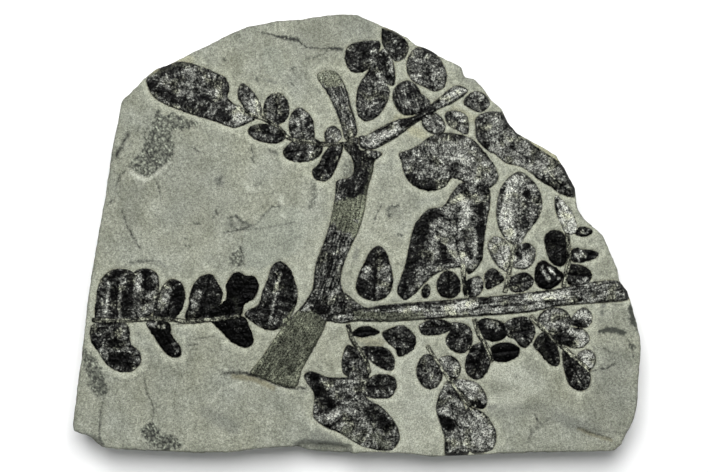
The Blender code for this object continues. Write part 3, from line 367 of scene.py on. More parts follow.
FROND = {
    "main_stem": [
        blade(0.61, (-2, 29.4), (-3.7, 28.4), (-3.6, 26.6), (-1.9, 24.8), (-0.8, 21.5), (-1, 19),
              (-2.6, 17.5), (-6, 16.5), (-6.6, 12), (-7.4, 7), (-9.5, -1), (-12.5, -9), (-13.7, -17),
              (-15.5, -20.5), (-22.5, -28.5), (-30.5, -39.8), (-33, -43.1), (-30, -44.1), (-25, -46.2),
              (-18.9, -47.2), (-17, -42), (-13.8, -36), (-10.5, -30), (-8.5, -25.5), (-4, -24), (-4, -18.5),
              (-5, -15), (-4.3, -10), (-1.7, -3.5), (0.5, 1), (2.5, 8), (3.5, 14.5), (5, 19.5), (5.6, 23),
              (8, 25), (5.5, 26), (0.7, 26.5), (0.4, 30)),
    ],
    "stem_tip": [
        blade(0.58, (-1.6, 30), (-3.3, 29.5), (-4.6, 33.5), (-6.5, 38.7), (-9, 44), (-12.2, 49.5), (-9, 50.8),
              (-6, 50), (-3.2, 45), (-1.5, 39), (-0.3, 35), (0, 31)),
    ],
    "branch_upper_right": [
        blade(0.8, (0.9, 28.4), (0.9, 30.4), (3, 30.7), (6, 32.4), (12, 35.3), (18, 36.8), (21.6, 39.2),
              (26, 42.6), (31, 46.2), (34.4, 44.6), (30, 41), (26, 39.2), (22.4, 36.9), (18, 34.3), (12, 30),
              (7.5, 27.5), (5.6, 26.6), (1.5, 26.9)),
        blade(0.35, (17.5, 37.2), (14.5, 37.3), (12.3, 39.5), (11.3, 42.7), (12.2, 45.8), (15.5, 47.7),
              (18.5, 46.3), (20.3, 43.5), (22.7, 41.3), (22.3, 39.2)),
        oval(0.73, (21, 37), (27, 31.8), 6),
    ],
    "branch_lower_right": [
        blade(0.65, (-4.4, -21), (-4.3, -18), (1, -21.8), (3, -22.8), (8, -22), (28, -20.4), (48, -18.7),
              (60, -17.3), (82, -14.8), (85, -19.5), (70, -21.5), (62, -22.3), (54, -24), (33, -25.5),
              (8, -27), (1, -26.8), (-4, -27.4), (-7.6, -26.9), (-9.4, -26.6), (-8.7, -25), (-4.4, -23.4)),
    ],
    "pinna_upper_left": [
        strand(0.5, 1.2, (-4.2, 28), (-10, 28), (-18, 29.2), (-21.5, 30.2), (-23.7, 32.6), (-28.5, 35.8),
               (-34, 37.5), (-37, 39.6)),
        blade(0.56, (-35.5, 38.8), (-40, 42.5), (-39.5, 45.5), (-41, 48.8), (-44, 50.3), (-49, 52.3),
              (-54, 53.5), (-60, 52.3), (-65, 48.2), (-63.5, 43.5), (-60, 40.8), (-52, 37.7), (-44, 35.2),
              (-38, 33.3), (-33, 35), (-31.5, 36.2)),
        blade(0.8, (-30.1, 36.5), (-32.7, 37.5), (-34.7, 39.2), (-36.9, 43.5), (-35.4, 46.8), (-32.5, 44.6),
              (-30.2, 41.3), (-29.4, 38.2)),
        oval(0.45, (-25, 34.2), (-24.8, 44), 8),
        blade(0.5, (-16.5, 29.2), (-13.3, 29.4), (-13.2, 33), (-14.1, 36.5), (-17.8, 39.3), (-20.3, 37.2),
              (-20.9, 33), (-19.8, 29.9)),
        blade(0.75, (-7.3, 28.3), (-5, 29.6), (-5, 32), (-7.5, 33.7), (-9.7, 31.8), (-9.4, 28.6)),
        oval(0.38, (-22, 30.4), (-33.7, 32.3), 5.7),
        oval(0.35, (-10.5, 27.3), (-22.7, 25), 7.3),
        blade(0.2, (-7, 28), (-4.4, 27.6), (-6, 21.5), (-8.2, 17.7), (-10.2, 16.5), (-13, 17.5),
              (-13.7, 19.8), (-11.5, 22.1), (-10.2, 25)),
    ],
    "pinna_top": [
        blade(0.25, (1, 50.3), (-1.2, 50.5), (-2.9, 52.3), (-3.5, 55.5), (-2.5, 58.4), (3, 60), (7.3, 59.6),
              (6, 55), (4, 51.7)),
        blade(0.3, (12.2, 53.8), (9.7, 56.8), (8, 59.5), (8.3, 64.2), (11, 63.1), (14.5, 61), (16.1, 58.5),
              (15.2, 55.2)),
        blade(0.35, (10, 46.6), (6.3, 50), (5.6, 54), (8.5, 57.5), (11, 54.3), (12, 49.5), (11.4, 46.3)),
        blade(0.5, (2.7, 35.2), (0.8, 36.7), (0, 40), (0.5, 45.5), (3.5, 50.5), (5.8, 54.6), (8.5, 48),
              (10.2, 44.5), (9.2, 40.5), (6.3, 36.6)),
    ],
    "leaflet_upper_edge": [
        blade(0.65, (24, 44.5), (21, 45.9), (17.7, 47.5), (15.7, 50.8), (16.2, 55.2), (19.3, 58.2),
              (23.8, 56.9), (27, 52.5), (28, 48.7), (26.7, 45.4)),
    ],
    "leaflet_under_branch": [
        blade(0.7, (28, 37.9), (31, 38.3), (33.6, 37.3), (34.8, 34.5), (34.3, 31.2), (31, 32.6), (28.6, 34),
              (27.5, 36.5)),
    ],
    "leaflet_branch_end": [
        blade(0.6, (33.3, 41), (35.3, 43.7), (37.5, 44.4), (40.3, 42.9), (41.3, 40.7), (39.5, 38.4),
              (37.5, 38.2), (34.5, 39.7)),
    ],
    "pinna_right_edge": [
        blade(0.75, (37, 33.5), (36.9, 35.7), (38.8, 37.4), (42.5, 38.1), (45.8, 37.5), (47.5, 34.3),
              (50.5, 31.2), (56, 27), (61, 23.7), (64, 21.6), (66, 18.3), (67.8, 14.5), (67.6, 11.7),
              (63.5, 12.6), (60.5, 14.7), (57, 16.7), (54, 19.3), (50.5, 21.3), (46.5, 22.2), (43.3, 24.8),
              (40, 26.7), (37.3, 30)),
    ],
    "pinna_middle": [
        strand(0.95, 1.2, (34.5, -20.3), (33.4, -14), (33, -9)),
        blade(0.65, (41.5, 14.6), (36, 15.2), (29.8, 17.6), (27.5, 15), (23.5, 13.6), (18.5, 14.7),
              (15.3, 18), (13.8, 23.3), (13.2, 25), (16.5, 26.3), (20, 28.2), (22.8, 30.3), (27.5, 31.5),
              (32, 31), (36, 29.4), (39.5, 25.8), (43, 20.8), (43.9, 17.5)),
        blade(0.55, (33, -10.3), (27.3, -11), (23, -13.3), (20.3, -16), (18.5, -18), (15, -20.2),
              (12.7, -17.7), (13.5, -14.5), (15.3, -9), (16.5, -3), (18.2, 3), (22.5, 7.8), (26.8, 8.7),
              (30, 13.3), (33, 16), (40.7, 14.8), (41.4, 10), (40.3, 3.5), (39.3, -4), (38.8, -8),
              (35, -12.2)),
        oval(0.18, (28.7, -19.8), (28.5, -11.3), 7.4),
        blade(0.22, (34, -19.4), (33, -17.5), (33.4, -15.3), (34.8, -14), (38, -13), (39.2, -14.5),
              (39, -17.3), (37, -19.3)),
    ],
    "leaflet_middle_left": [
        oval(0.46, (21.2, -19.8), (22, -15.5), 2.6),
    ],
    "leaflet_middle_right": [
        blade(0.25, (40, -15.5), (39.8, -12.7), (42, -10.5), (44.8, -12.2), (45.8, -14), (43.5, -15.8),
              (40.6, -16.9)),
    ],
    "pinna_inner_right": [
        strand(0.75, 1.2, (49.6, -3), (48.3, -6.5), (47.4, -12), (46, -18)),
        blade(0.8, (49.8, -3.4), (46, -1), (44, 3), (43.5, 8), (45.5, 15.5), (50.3, 19.4), (53.8, 17.5),
              (56.5, 14), (57.6, 9.5), (56.3, 5), (53.2, 1)),
        blade(0.93, (47.4, -11.4), (44.5, -10.3), (42, -7), (40.8, -3), (43, -0.7), (46.2, -2), (47.7, -5)),
        blade(0.91, (48.2, -9.5), (48.9, -5.5), (50.3, -3.7), (53, -2.6), (55.3, -4.5), (55.3, -7.5),
              (53.4, -10.2), (50.5, -10.7)),
        blade(0.3, (47, -14.8), (48.3, -13.2), (52.5, -11.8), (55, -14), (53.4, -16.9), (50, -17.9),
              (48, -17.4)),
    ],
    "pinna_outer_right": [
        strand(0.65, 1.2, (65.3, 0.5), (65.8, -4), (65.9, -8), (64.9, -12.5), (64.2, -16.4)),
        blade(0.1, (65, -3.8), (64.9, -1.2), (63.3, 1), (60.5, 1.2), (58.4, -0.7), (58.8, -4.2), (60.2, -8.2),
              (63, -9.9), (65, -8.5)),
        blade(0, (64.2, -12.7), (61, -9.8), (57.5, -8.1), (55.5, -11), (56, -15.6), (59.2, -17),
              (62.5, -15.6)),
        blade(1.15, (65.4, 0.2), (63, 4.5), (61.7, 8), (61.9, 12), (64.5, 9.8), (66.9, 6.7), (68.2, 3.5),
              (68.3, 0.8)),
        blade(0.07, (67.6, 0.5), (69.1, 2.2), (72, 2), (73.2, 1), (71.5, -0.5), (69, -0.4)),
        blade(0.17, (65.8, -6.4), (67.5, -4.4), (70.5, -4.7), (73.5, -5), (75.1, -6.1), (73.2, -7.8),
              (70, -8.5), (67.3, -8.4)),
        blade(0.15, (65, -12), (65.3, -9.6), (69, -9.4), (72, -10.8), (73, -13), (71.3, -15.7), (69, -16),
              (66, -15.5)),
    ],
    "leaflet_centre": [
        blade(0.15, (5.5, -20.5), (2, -19.6), (0, -17.3), (0.4, -13.3), (2.6, -8.5), (4.5, -5), (7, -3.6),
              (9, -5.3), (10.6, -10), (11.3, -14), (10.3, -18), (8, -20)),
    ],
    "leaflet_pair_below_branch": [
        blade(0.25, (30, -28.4), (27, -26.6), (22.5, -26.6), (19.5, -28.5), (20.5, -30.8), (24.5, -31.2),
              (28.5, -30)),
        blade(0.25, (35.9, -31.2), (35.2, -29), (33, -27.6), (29.3, -27.6), (29.1, -30), (27.7, -32.8),
              (29.5, -35.8), (32.8, -36.8), (35.5, -34.6)),
    ],
    "pinna_lower_middle": [
        strand(0.72, 1.3, (36.6, -26.3), (38, -31), (41, -36), (42, -39.5)),
        blade(0.05, (37.6, -29.6), (37.7, -27.2), (39.5, -26.1), (42.5, -26.4), (45.4, -27.3), (46.9, -30),
              (45, -32.7), (42, -33.1), (39.2, -31.9)),
        blade(0.28, (46.3, -31), (45.8, -28), (48.5, -26.1), (52.8, -25.8), (55.3, -29), (54.8, -32.5),
              (52.3, -35.1), (50.6, -34.4), (49.3, -32.6)),
        oval(0, (41.2, -37), (50.7, -36), 6),
        blade(0.2, (39.6, -33.8), (36.3, -34.5), (34.5, -37.5), (33.7, -41), (35, -44), (37.8, -44.9),
              (40.2, -43), (41.5, -39.5)),
    ],
    "pinna_lower_outer": [
        strand(0.76, 1.2, (54, -25.4), (58.5, -29.8), (64, -35), (70, -40), (72.5, -42.3)),
        blade(0.7, (58, -28.8), (56.4, -26.3), (58, -24), (62, -22.8), (65.4, -24.1), (66.6, -27.3),
              (65, -29.7), (60.5, -30.3)),
        blade(0.8, (66.4, -27.6), (68, -24.3), (70.7, -22.7), (73, -24.8), (72.7, -27.5), (71.3, -28.8),
              (68.5, -28.6)),
        blade(0.85, (60.8, -31.6), (63.5, -30.3), (67, -29), (70.8, -29.7), (72.3, -32.3), (70.5, -34.8),
              (67.5, -35.2), (63.5, -33.8)),
        blade(1.0, (69.3, -38.8), (68.8, -37.2), (71.5, -35.7), (73.8, -37.2), (74.1, -39.8), (72.3, -41.8)),
        blade(0.1, (58.8, -30.2), (56.8, -31), (55, -34.3), (57, -36.8), (60, -40.2), (62.3, -40.8),
              (63, -38.5), (61.8, -33.8)),
        blade(0.25, (64.2, -35.8), (66.5, -37.2), (70, -40.3), (72.6, -43.7), (71.8, -47.5), (69.3, -48.5),
              (66.3, -46.8), (64.8, -43), (64, -39)),
    ],
    "pinna_below_stem": [
        strand(0.55, 1.2, (-2.6, -28), (-1.2, -33), (2.5, -38), (4, -43)),
        blade(0.02, (-1.6, -31), (1, -28.8), (4, -28.6), (7.2, -30.4), (4, -31.5), (1, -31.8)),
        blade(0.2, (1.3, -35.4), (5, -34.7), (9.5, -35.5), (11.6, -38.5), (11.3, -42), (8.5, -41.8),
              (4.5, -39.3)),
        blade(0.4, (2.2, -38), (3.6, -42), (3.8, -43.7), (0, -45), (-4, -43), (-4.4, -39), (-2.8, -34.4),
              (0, -35.5)),
        blade(0.3, (2.5, -47.5), (4, -44.7), (7, -43.4), (11.5, -44.3), (12.4, -47), (10.5, -50.4),
              (7.5, -50.9), (3, -50)),
        blade(0.55, (3.5, -43.5), (-4, -44.5), (-9, -44.3), (-14.5, -42.5), (-16.2, -43.9), (-13.3, -49),
              (-13, -52), (-13.3, -56.5), (-10, -59.5), (-5, -61.6), (0, -64.7), (4, -66.3), (11, -66.6),
              (13.3, -63.5), (12.2, -59), (8, -53.8), (3, -50.5)),
    ],
    "leaflet_below_branch": [
        blade(0.25, (8, -30.7), (11, -29), (14, -28.3), (17, -30), (18.5, -33), (17, -36), (13, -37.8),
              (12.2, -35.7), (10, -33.8)),
    ],
    "pinna_lower_edge": [
        strand(0.82, 0.9, (22, -34.5), (25, -39.5), (28.5, -44.5), (32.5, -50), (36, -54.5)),
        blade(0.5, (26.2, -41.3), (24.8, -39), (22.5, -37.2), (20.3, -38), (18.7, -41.5), (19.2, -45),
              (22.3, -48), (25.3, -46.8), (26.7, -43.5)),
        blade(0.7, (27.3, -42.5), (25.5, -39), (28, -37.6), (31, -38.6), (32.3, -41.5), (31.5, -44.2),
              (29.3, -44.6)),
        blade(0.9, (29.6, -45.5), (34.5, -45.2), (38.3, -46.9), (40.5, -51.5), (39.6, -53.9), (36.5, -53.5),
              (32.5, -48.7)),
        blade(0.7, (28.2, -45.6), (32, -50.5), (34.7, -57), (35.2, -63), (34.7, -68), (31.5, -68.7),
              (27.8, -68.5), (27.4, -63), (26, -58.5), (24.8, -54.5), (25.5, -50.3), (27, -47.5)),
        blade(0.85, (34.3, -54), (38.5, -54.8), (41.5, -57.8), (43.4, -62), (42.3, -66.2), (39, -67.7),
              (35.5, -67.5), (35, -62)),
    ],
    "pinna_lower_left": [
        strand(0.52, 1.3, (-82, -26.5), (-74, -26.8), (-60, -26), (-53, -27), (-44, -26.2), (-35.8, -25.1)),
        blade(0.3, (-74, -26.4), (-80.8, -26), (-80.8, -21), (-79.5, -14.5), (-76.8, -11.5), (-73, -10.7),
              (-69.3, -12), (-69.3, -17), (-69.6, -25.5)),
        blade(0.58, (-67, -25.8), (-69.9, -25.5), (-69.6, -17), (-69, -11.8), (-66, -10.6), (-62.3, -11.9),
              (-61.3, -15.5), (-62.3, -22), (-63.8, -24.8)),
        blade(0.2, (-58.5, -26), (-63, -25.2), (-61.8, -20.5), (-60.3, -16.3), (-57.5, -13.9), (-54.5, -15),
              (-53.2, -18.5), (-54, -22.7), (-56, -25.4)),
        blade(0.15, (-48.5, -25.8), (-53.2, -25.8), (-52.2, -22.5), (-51.2, -17), (-48.5, -13.2),
              (-45.2, -12.4), (-42.8, -15.6), (-41.6, -18.2), (-42.6, -21.8), (-46.3, -25.9)),
        blade(0.0, (-40.5, -25.6), (-45.8, -26), (-45.8, -24), (-42.2, -21.8), (-40.4, -20), (-40.3, -15.5),
              (-38, -12), (-36.2, -11.8), (-34.3, -12.8), (-31.5, -13.2), (-30.4, -16.5), (-31.8, -19.7),
              (-35, -21.8), (-35.7, -24.8)),
        blade(0.2, (-34.6, -24.6), (-30.3, -21.6), (-29.2, -18), (-27.6, -14), (-26, -9.7), (-24, -8.4),
              (-21.2, -10), (-19.2, -14.5), (-18.3, -19), (-20.7, -26), (-23.3, -28.8), (-27, -29.7),
              (-31, -28)),
        blade(0.36, (-75, -27.1), (-82, -28.2), (-82.5, -32.5), (-80, -36.5), (-77.5, -40.2), (-73.5, -42.5),
              (-69.5, -42.3), (-67, -39.5), (-67.4, -36.5), (-70, -34), (-71.1, -28.2)),
        blade(0, (-61.5, -26.5), (-65.2, -27.5), (-63.5, -30.5), (-60.5, -35.3), (-57.5, -38), (-54.8, -37.8),
              (-54.6, -35.3), (-57.5, -31), (-58, -27.7)),
        blade(0.0, (-40, -25.9), (-45, -26.5), (-41.5, -30.5), (-38, -33.8), (-33.8, -35), (-32, -33.2),
              (-33, -29.5), (-35, -25.6)),
    ],
}


# ---------------------------------------------------------------- numbers on arrays

def smoothstep(low, high, value):
    """From 0 at low to 1 at high, with no corner at either end."""
    share = np.clip((value - low) / (high - low), 0, 1)
    return share * share * (3 - 2 * share)


def blend(colour, other, share):
    """The colours with a share of another colour mixed in."""
    return colour + (np.asarray(other) - colour) * share[:, None]


def lattice_hash(ix, iy, seed):
    """A number from 0 to 1 for each whole-numbered place."""
    mask = np.uint64(0xFFFFFFFF)
    h = (ix.astype(np.int64) & 0xFFFFFFFF).astype(np.uint64) * np.uint64(374761393)
    h += (iy.astype(np.int64) & 0xFFFFFFFF).astype(np.uint64) * np.uint64(668265263)
    h = (h + np.uint64(seed * 1013904223 & 0xFFFFFFFF)) & mask
    h = ((h ^ (h >> np.uint64(13))) * np.uint64(1274126177)) & mask
    h = ((h ^ (h >> np.uint64(15))) * np.uint64(2246822519)) & mask
    return ((h ^ (h >> np.uint64(16))) & mask).astype(float) / 4294967295.0


def gradient_noise(x, y, seed):
    """Smooth noise with a spread of about 1 and features one unit wide."""
    x0, y0 = np.floor(x), np.floor(y)
    fx, fy = x - x0, y - y0
    wx = fx ** 3 * (fx * (fx * 6 - 15) + 10)
    wy = fy ** 3 * (fy * (fy * 6 - 15) + 10)

    def corner(dx, dy):
        turn = lattice_hash(x0 + dx, y0 + dy, seed) * 2 * math.pi
        return np.cos(turn) * (fx - dx) + np.sin(turn) * (fy - dy)

    low = corner(0, 0) * (1 - wx) + corner(1, 0) * wx
    high = corner(0, 1) * (1 - wx) + corner(1, 1) * wx
    return (low * (1 - wy) + high * wy) * 3.0


def layered_noise(x, y, size, seed, octaves=3, falloff=0.55):
    """Noise with features of the given size and finer ones on top, spread of about 1."""
    total = np.zeros_like(x, dtype=float)
    weight, power = 1.0, 0.0
    for k in range(octaves):
        step = size / 2 ** k
        total += weight * gradient_noise(x / step + 17.3 * k, y / step - 9.1 * k, seed + 31 * k)
        power += weight ** 2
        weight *= falloff
    return total / math.sqrt(power)


def distance_to_line(points, line):
    """Distance of each point to a polyline, with the place along it and the signed side."""
    best = np.full(len(points), np.inf)
    along = np.zeros(len(points))
    side = np.zeros(len(points))
    start = 0.0
    for a, b in zip(line[:-1], line[1:]):
        run = np.subtract(b, a)
        length = math.hypot(*run)
        if length == 0:
            continue
        offset = points - np.asarray(a)
        share = offset @ run / length ** 2
        clipped = np.clip(share, 0, 1)
        away = offset - clipped[:, None] * run
        gap = np.hypot(away[:, 0], away[:, 1])
        cross = (run[0] * offset[:, 1] - run[1] * offset[:, 0]) / length
        nearer = gap < best
        best = np.where(nearer, gap, best)
        along = np.where(nearer, start + clipped * length, along)
        side = np.where(nearer, cross, side)
        start += length
    return best, along, side


def inside_loop(points, loop):
    """Whether each point lies inside a closed outline."""
    by_y = np.argsort(points[:, 1])
    x, y = points[by_y].T
    inside = np.zeros(len(points), bool)
    for a, b in zip(loop, np.roll(loop, -1, axis=0)):
        if a[1] != b[1]:
            low, high = np.searchsorted(y, [min(a[1], b[1]), max(a[1], b[1])])
            crossing = a[0] + (y[low:high] - a[1]) * (b[0] - a[0]) / (b[1] - a[1])
            inside[low:high] ^= x[low:high] < crossing
    result = np.empty(len(points), bool)
    result[by_y] = inside
    return result


def signed_distance(points, loop, reach=4.5):
    """Distance to a closed outline, negative inside it, and no further than reach on either side."""
    by_x = np.argsort(points[:, 0])
    x, y = points[by_x].T
    gap = np.full(len(points), reach)
    for a, b in zip(loop, np.roll(loop, -1, axis=0)):
        low, high = np.searchsorted(x, [min(a[0], b[0]) - reach, max(a[0], b[0]) + reach])
        run = b - a
        dx, dy = x[low:high] - a[0], y[low:high] - a[1]
        share = np.clip((dx * run[0] + dy * run[1]) / (run @ run), 0, 1)
        gap[low:high] = np.minimum(gap[low:high], np.hypot(dx - share * run[0], dy - share * run[1]))
    result = np.empty(len(points))
    result[by_x] = gap
    return np.where(inside_loop(points, loop), -result, result)


# ---------------------------------------------------------------- outlines

def signed_area(loop):
    """Area of the loop, negative where it runs clockwise."""
    x, y = np.asarray(loop).T
    return float(np.sum(x * np.roll(y, -1) - np.roll(x, -1) * y)) / 2


def counter_clockwise(loop):
    return loop if signed_area(loop) > 0 else loop[::-1]


def run_round(loop):
    """Direction of a closed loop at each of its points."""
    return np.roll(loop, -1, axis=0) - np.roll(loop, 1, axis=0)


def left_of(run):
    """Unit vectors to the left of the given directions."""
    return np.column_stack([-run[:, 1], run[:, 0]]) / np.hypot(*run.T)[:, None]


def centripetal_curve(points, closed, steps=10):
    """Centripetal Catmull-Rom curve through the points."""
    points = [np.asarray(p, float) for p in points]
    if closed:
        padded = [points[-1], *points, *points[:2]]
    else:
        padded = [2 * points[0] - points[1], *points, 2 * points[-1] - points[-2]]
    curve = []
    for p0, p1, p2, p3 in zip(padded, padded[1:], padded[2:], padded[3:]):
        t0 = 0.0
        t1 = t0 + math.sqrt(np.hypot(*(p1 - p0)))
        t2 = t1 + math.sqrt(np.hypot(*(p2 - p1)))
        t3 = t2 + math.sqrt(np.hypot(*(p3 - p2)))
        t = np.linspace(t1, t2, steps, endpoint=False)[:, None]
        a1 = p0 + (p1 - p0) * (t - t0) / (t1 - t0)
        a2 = p1 + (p2 - p1) * (t - t1) / (t2 - t1)
        a3 = p2 + (p3 - p2) * (t - t2) / (t3 - t2)
        b1 = a1 + (a2 - a1) * (t - t0) / (t2 - t0)
        b2 = a2 + (a3 - a2) * (t - t1) / (t3 - t1)
        curve.append(b1 + (b2 - b1) * (t - t1) / (t2 - t1))
    curve = np.vstack(curve)
    return curve if closed else np.vstack([curve, points[-1]])


def evenly_spaced(line, spacing, closed):
    """The line again, as points about one spacing apart."""
    line = np.vstack([line, line[:1]]) if closed else np.asarray(line)
    steps = np.hypot(*np.diff(line, axis=0).T)
    run = np.concatenate([[0], np.cumsum(steps)])
    count = max(int(round(run[-1] / spacing)), 8)
    places = np.linspace(0, run[-1], count, endpoint=False) if closed else np.linspace(0, run[-1], count + 1)
    return np.column_stack([np.interp(places, run, line[:, k]) for k in (0, 1)])


def oval_points(foot, tip, width):
    """Egg shape, broadest a little nearer its foot than its tip."""
    foot, along = np.asarray(foot, float), np.subtract(tip, foot)
    side = np.array([-along[1], along[0]]) / math.hypot(*along)
    turn = np.linspace(0, 2 * math.pi, OVAL_POINTS, endpoint=False)[:, None]
    run = (1 - np.cos(turn)) / 2 - OVAL_LEAN * np.sin(turn) ** 2
    return foot + along * run + side * width / 2 * np.sin(turn)


def strand_points(line, width):
    """Band of even width along a curve."""
    curve = centripetal_curve(line, closed=False, steps=4)
    side = left_of(np.gradient(curve, axis=0)) * width / 2
    return np.vstack([curve + side, (curve - side)[::-1]])


def outline_of(shape, spacing):
    """Smooth outline of a blade, an oval or a strand, counter-clockwise."""
    if shape["kind"] == "blade":
        loop = centripetal_curve(shape["points"], closed=True)
    elif shape["kind"] == "oval":
        loop = centripetal_curve(oval_points(*shape["points"], shape["width"]), closed=True, steps=4)
    else:
        loop = strand_points(shape["points"], shape["width"])
    return evenly_spaced(counter_clockwise(loop), spacing, closed=True)


def grown(loop, distance):
    """The counter-clockwise loop with its edge moved outwards."""
    before, after = loop - np.roll(loop, 1, axis=0), np.roll(loop, -1, axis=0) - loop
    unit = before / np.hypot(*before.T)[:, None] + after / np.hypot(*after.T)[:, None]
    unit /= np.hypot(*unit.T)[:, None]
    moved = loop + np.column_stack([unit[:, 1], -unit[:, 0]]) * distance
    gap = distance_to_line(moved, np.vstack([loop, loop[:1]]))[0]
    return moved[gap > 0.93 * abs(distance)]


# ---------------------------------------------------------------- flat meshes

def plane_mesh(regions, lines=(), points=()):
    """Delaunay triangles that keep every edge of the regions and lines, with the regions each lies in."""
    coords, faces, edges = [], [], []
    for loop in regions:
        faces.append(list(range(len(coords), len(coords) + len(loop))))
        coords += [Vector(p) for p in loop]
    for loop in lines:
        first = len(coords)
        edges += [(first + i, first + (i + 1) % len(loop)) for i in range(len(loop))]
        coords += [Vector(p) for p in loop]
    coords += [Vector(p) for p in points]
    verts, _, triangles, _, _, sources = delaunay_2d_cdt(coords, edges, faces, 0, MERGE_DISTANCE, True)
    return np.array([tuple(v) for v in verts]), triangles, sources


def boundary_loops(verts, triangles):
    """Loops of vertex indices round a set of triangles, with the area on their left."""
    directed = {(t[i], t[(i + 1) % 3]) for t in triangles for i in range(3)}
    following = {}
    for a, b in sorted(directed):
        if (b, a) not in directed:
            following.setdefault(a, []).append(b)

    def clockwise_turn(back, here, ahead):
        first = math.atan2(verts[back][1] - verts[here][1], verts[back][0] - verts[here][0])
        second = math.atan2(verts[ahead][1] - verts[here][1], verts[ahead][0] - verts[here][0])
        return (first - second) % (2 * math.pi)

    loops = []
    for start in sorted(following):
        while following[start]:
            loop = [start, following[start].pop()]
            while loop[-1] != start:
                back, here = loop[-2:]
                ahead = min(following[here], key=lambda b: clockwise_turn(back, here, b))
                following[here].remove(ahead)
                loop.append(ahead)
            loops.append(loop[:-1])
    return loops


def union_loops(regions, without=(), within=None):
    """Outlines of the area that regions cover, less the areas to leave out, inside one last outline."""
    limits = [] if within is None else [within]
    verts, triangles, sources = plane_mesh([*regions, *without, *limits])
    first_out = len(regions)
    limit = first_out + len(without)
    kept = []
    for triangle, inside in zip(triangles, sources):
        covered = any(i < first_out for i in inside)
        left_out = any(first_out <= i < limit for i in inside)
        if covered and not left_out and (within is None or limit in inside):
            kept.append(triangle)
    loops = [verts[loop] for loop in boundary_loops(verts, kept)]
    return [loop for loop in loops if abs(signed_area(loop)) > SMALLEST_PATCH]


def filled(loops, points=()):
    """Triangles over the area inside the loops, less the holes that some of them make in others."""
    verts, triangles, _ = plane_mesh((), lines=loops, points=points)
    centres = verts[np.array(triangles)].mean(axis=1)
    inside = np.zeros(len(centres), bool)
    for loop in loops:
        inside ^= inside_loop(centres, loop)
    return verts, [t for t, kept in zip(triangles, inside) if kept]


def jittered_grid(low, high, spacing, seed):
    """Points of a staggered grid over a box, each moved a little at random."""
    rows = np.arange(low[1], high[1], spacing * 0.87)
    columns = np.arange(low[0], high[0], spacing)
    x, y = np.meshgrid(columns, rows)
    x[1::2] += spacing / 2
    points = np.column_stack([x.ravel(), y.ravel()])
    return points + np.random.default_rng(seed).uniform(-JITTER, JITTER, points.shape) * spacing


def renumbered(faces):
    """The faces with their points numbered without gaps, and the old numbers of those points."""
    used = sorted({i for face in faces for i in face})
    order = {old: new for new, old in enumerate(used)}
    return [[order[i] for i in face] for face in faces], used


def spot(point):
    """A flat place as a key that two meshes share."""
    return round(point[0], 3), round(point[1], 3)


def band(upper, lower):
    """Four-sided faces between two closed rows of points, given by their numbers."""
    ahead = range(1, len(upper) + 1)
    return [[upper[i - 1], lower[i - 1], lower[i % len(upper)], upper[i % len(upper)]] for i in ahead]


# ---------------------------------------------------------------- materials

def new_material(name, roughness, ior):
    """A plain material, its nodes and its shader."""
    look = bpy.data.materials.new(name)
    look.use_nodes = True
    shader = look.node_tree.nodes["Principled BSDF"]
    shader.inputs["Roughness"].default_value = roughness
    shader.inputs["IOR"].default_value = ior
    return look, look.node_tree, shader


def add_node(tree, kind, links=(), **settings):
    """A shader node with its properties and sockets set, and links into it from other sockets."""
    node = tree.nodes.new(kind)
    for key, value in settings.items():
        if key.startswith("in_"):
            node.inputs[key[3:].replace("_", " ")].default_value = value
        else:
            setattr(node, key, value)
    for socket, source in links:
        tree.links.new(source, node.inputs[socket])
    return node


def noise_node(tree, place, size, detail, roughness=0.55):
    """Noise with features of a size in millimetres."""
    return add_node(tree, "ShaderNodeTexNoise", [("Vector", place)], in_Scale=1 / (size * MM),
                    in_Detail=detail, in_Roughness=roughness).outputs["Fac"]


def spread(tree, value, low, high, new_low, new_high):
    """The value moved from one range to another, and kept inside it."""
    return add_node(tree, "ShaderNodeMapRange", [("Value", value)], in_From_Min=low, in_From_Max=high,
                    in_To_Min=new_low, in_To_Max=new_high).outputs["Result"]


def times(tree, kind, a, b):
    """Product of two values by a math node of the given kind."""
    return add_node(tree, kind, [(0, a), (1, b)], operation="MULTIPLY").outputs[0]


def painted_look(name, roughness, ior, grain, contrast, blotches, gloss, bump_height, specks=None):
    """A material with a piece's painted colour, broken up by grain, with blotches of more and less gloss.

    grain and blotches are the size, detail and roughness of a noise, and specks starts with its size and
    detail. contrast, gloss and the last four of specks spread a noise from one range to another.
    """
    look, tree, shader = new_material(name, roughness, ior)
    place = add_node(tree, "ShaderNodeTexCoord").outputs["Object"]
    grains = noise_node(tree, place, *grain)
    factor = spread(tree, grains, *contrast)
    if specks:
        speck = spread(tree, noise_node(tree, place, *specks[:2]), *specks[2:])
        factor = times(tree, "ShaderNodeMath", factor, speck)
    paint = add_node(tree, "ShaderNodeAttribute", attribute_name="paint").outputs["Color"]
    tree.links.new(times(tree, "ShaderNodeVectorMath", paint, factor), shader.inputs["Base Color"])
    tree.links.new(spread(tree, noise_node(tree, place, *blotches), *gloss), shader.inputs["Roughness"])
    bump = add_node(tree, "ShaderNodeBump", [("Height", grains)], in_Strength=0.5,
                    in_Distance=bump_height * MM)
    tree.links.new(bump.outputs["Normal"], shader.inputs["Normal"])
    return look, shader


def shale_material():
    """Dry split shale: matt, with fine pale and dark grains and a few darker specks."""
    return painted_look("shale", 0.9, 1.5, grain=(0.42, 2, 0.75), contrast=(0.33, 0.67, 0.54, 1.46),
                        blotches=(1.6, 2), gloss=(0.3, 0.7, 0.82, 0.97), bump_height=0.09,
                        specks=(0.8, 2, 0.27, 0.33, 0.78, 1.0))[0]


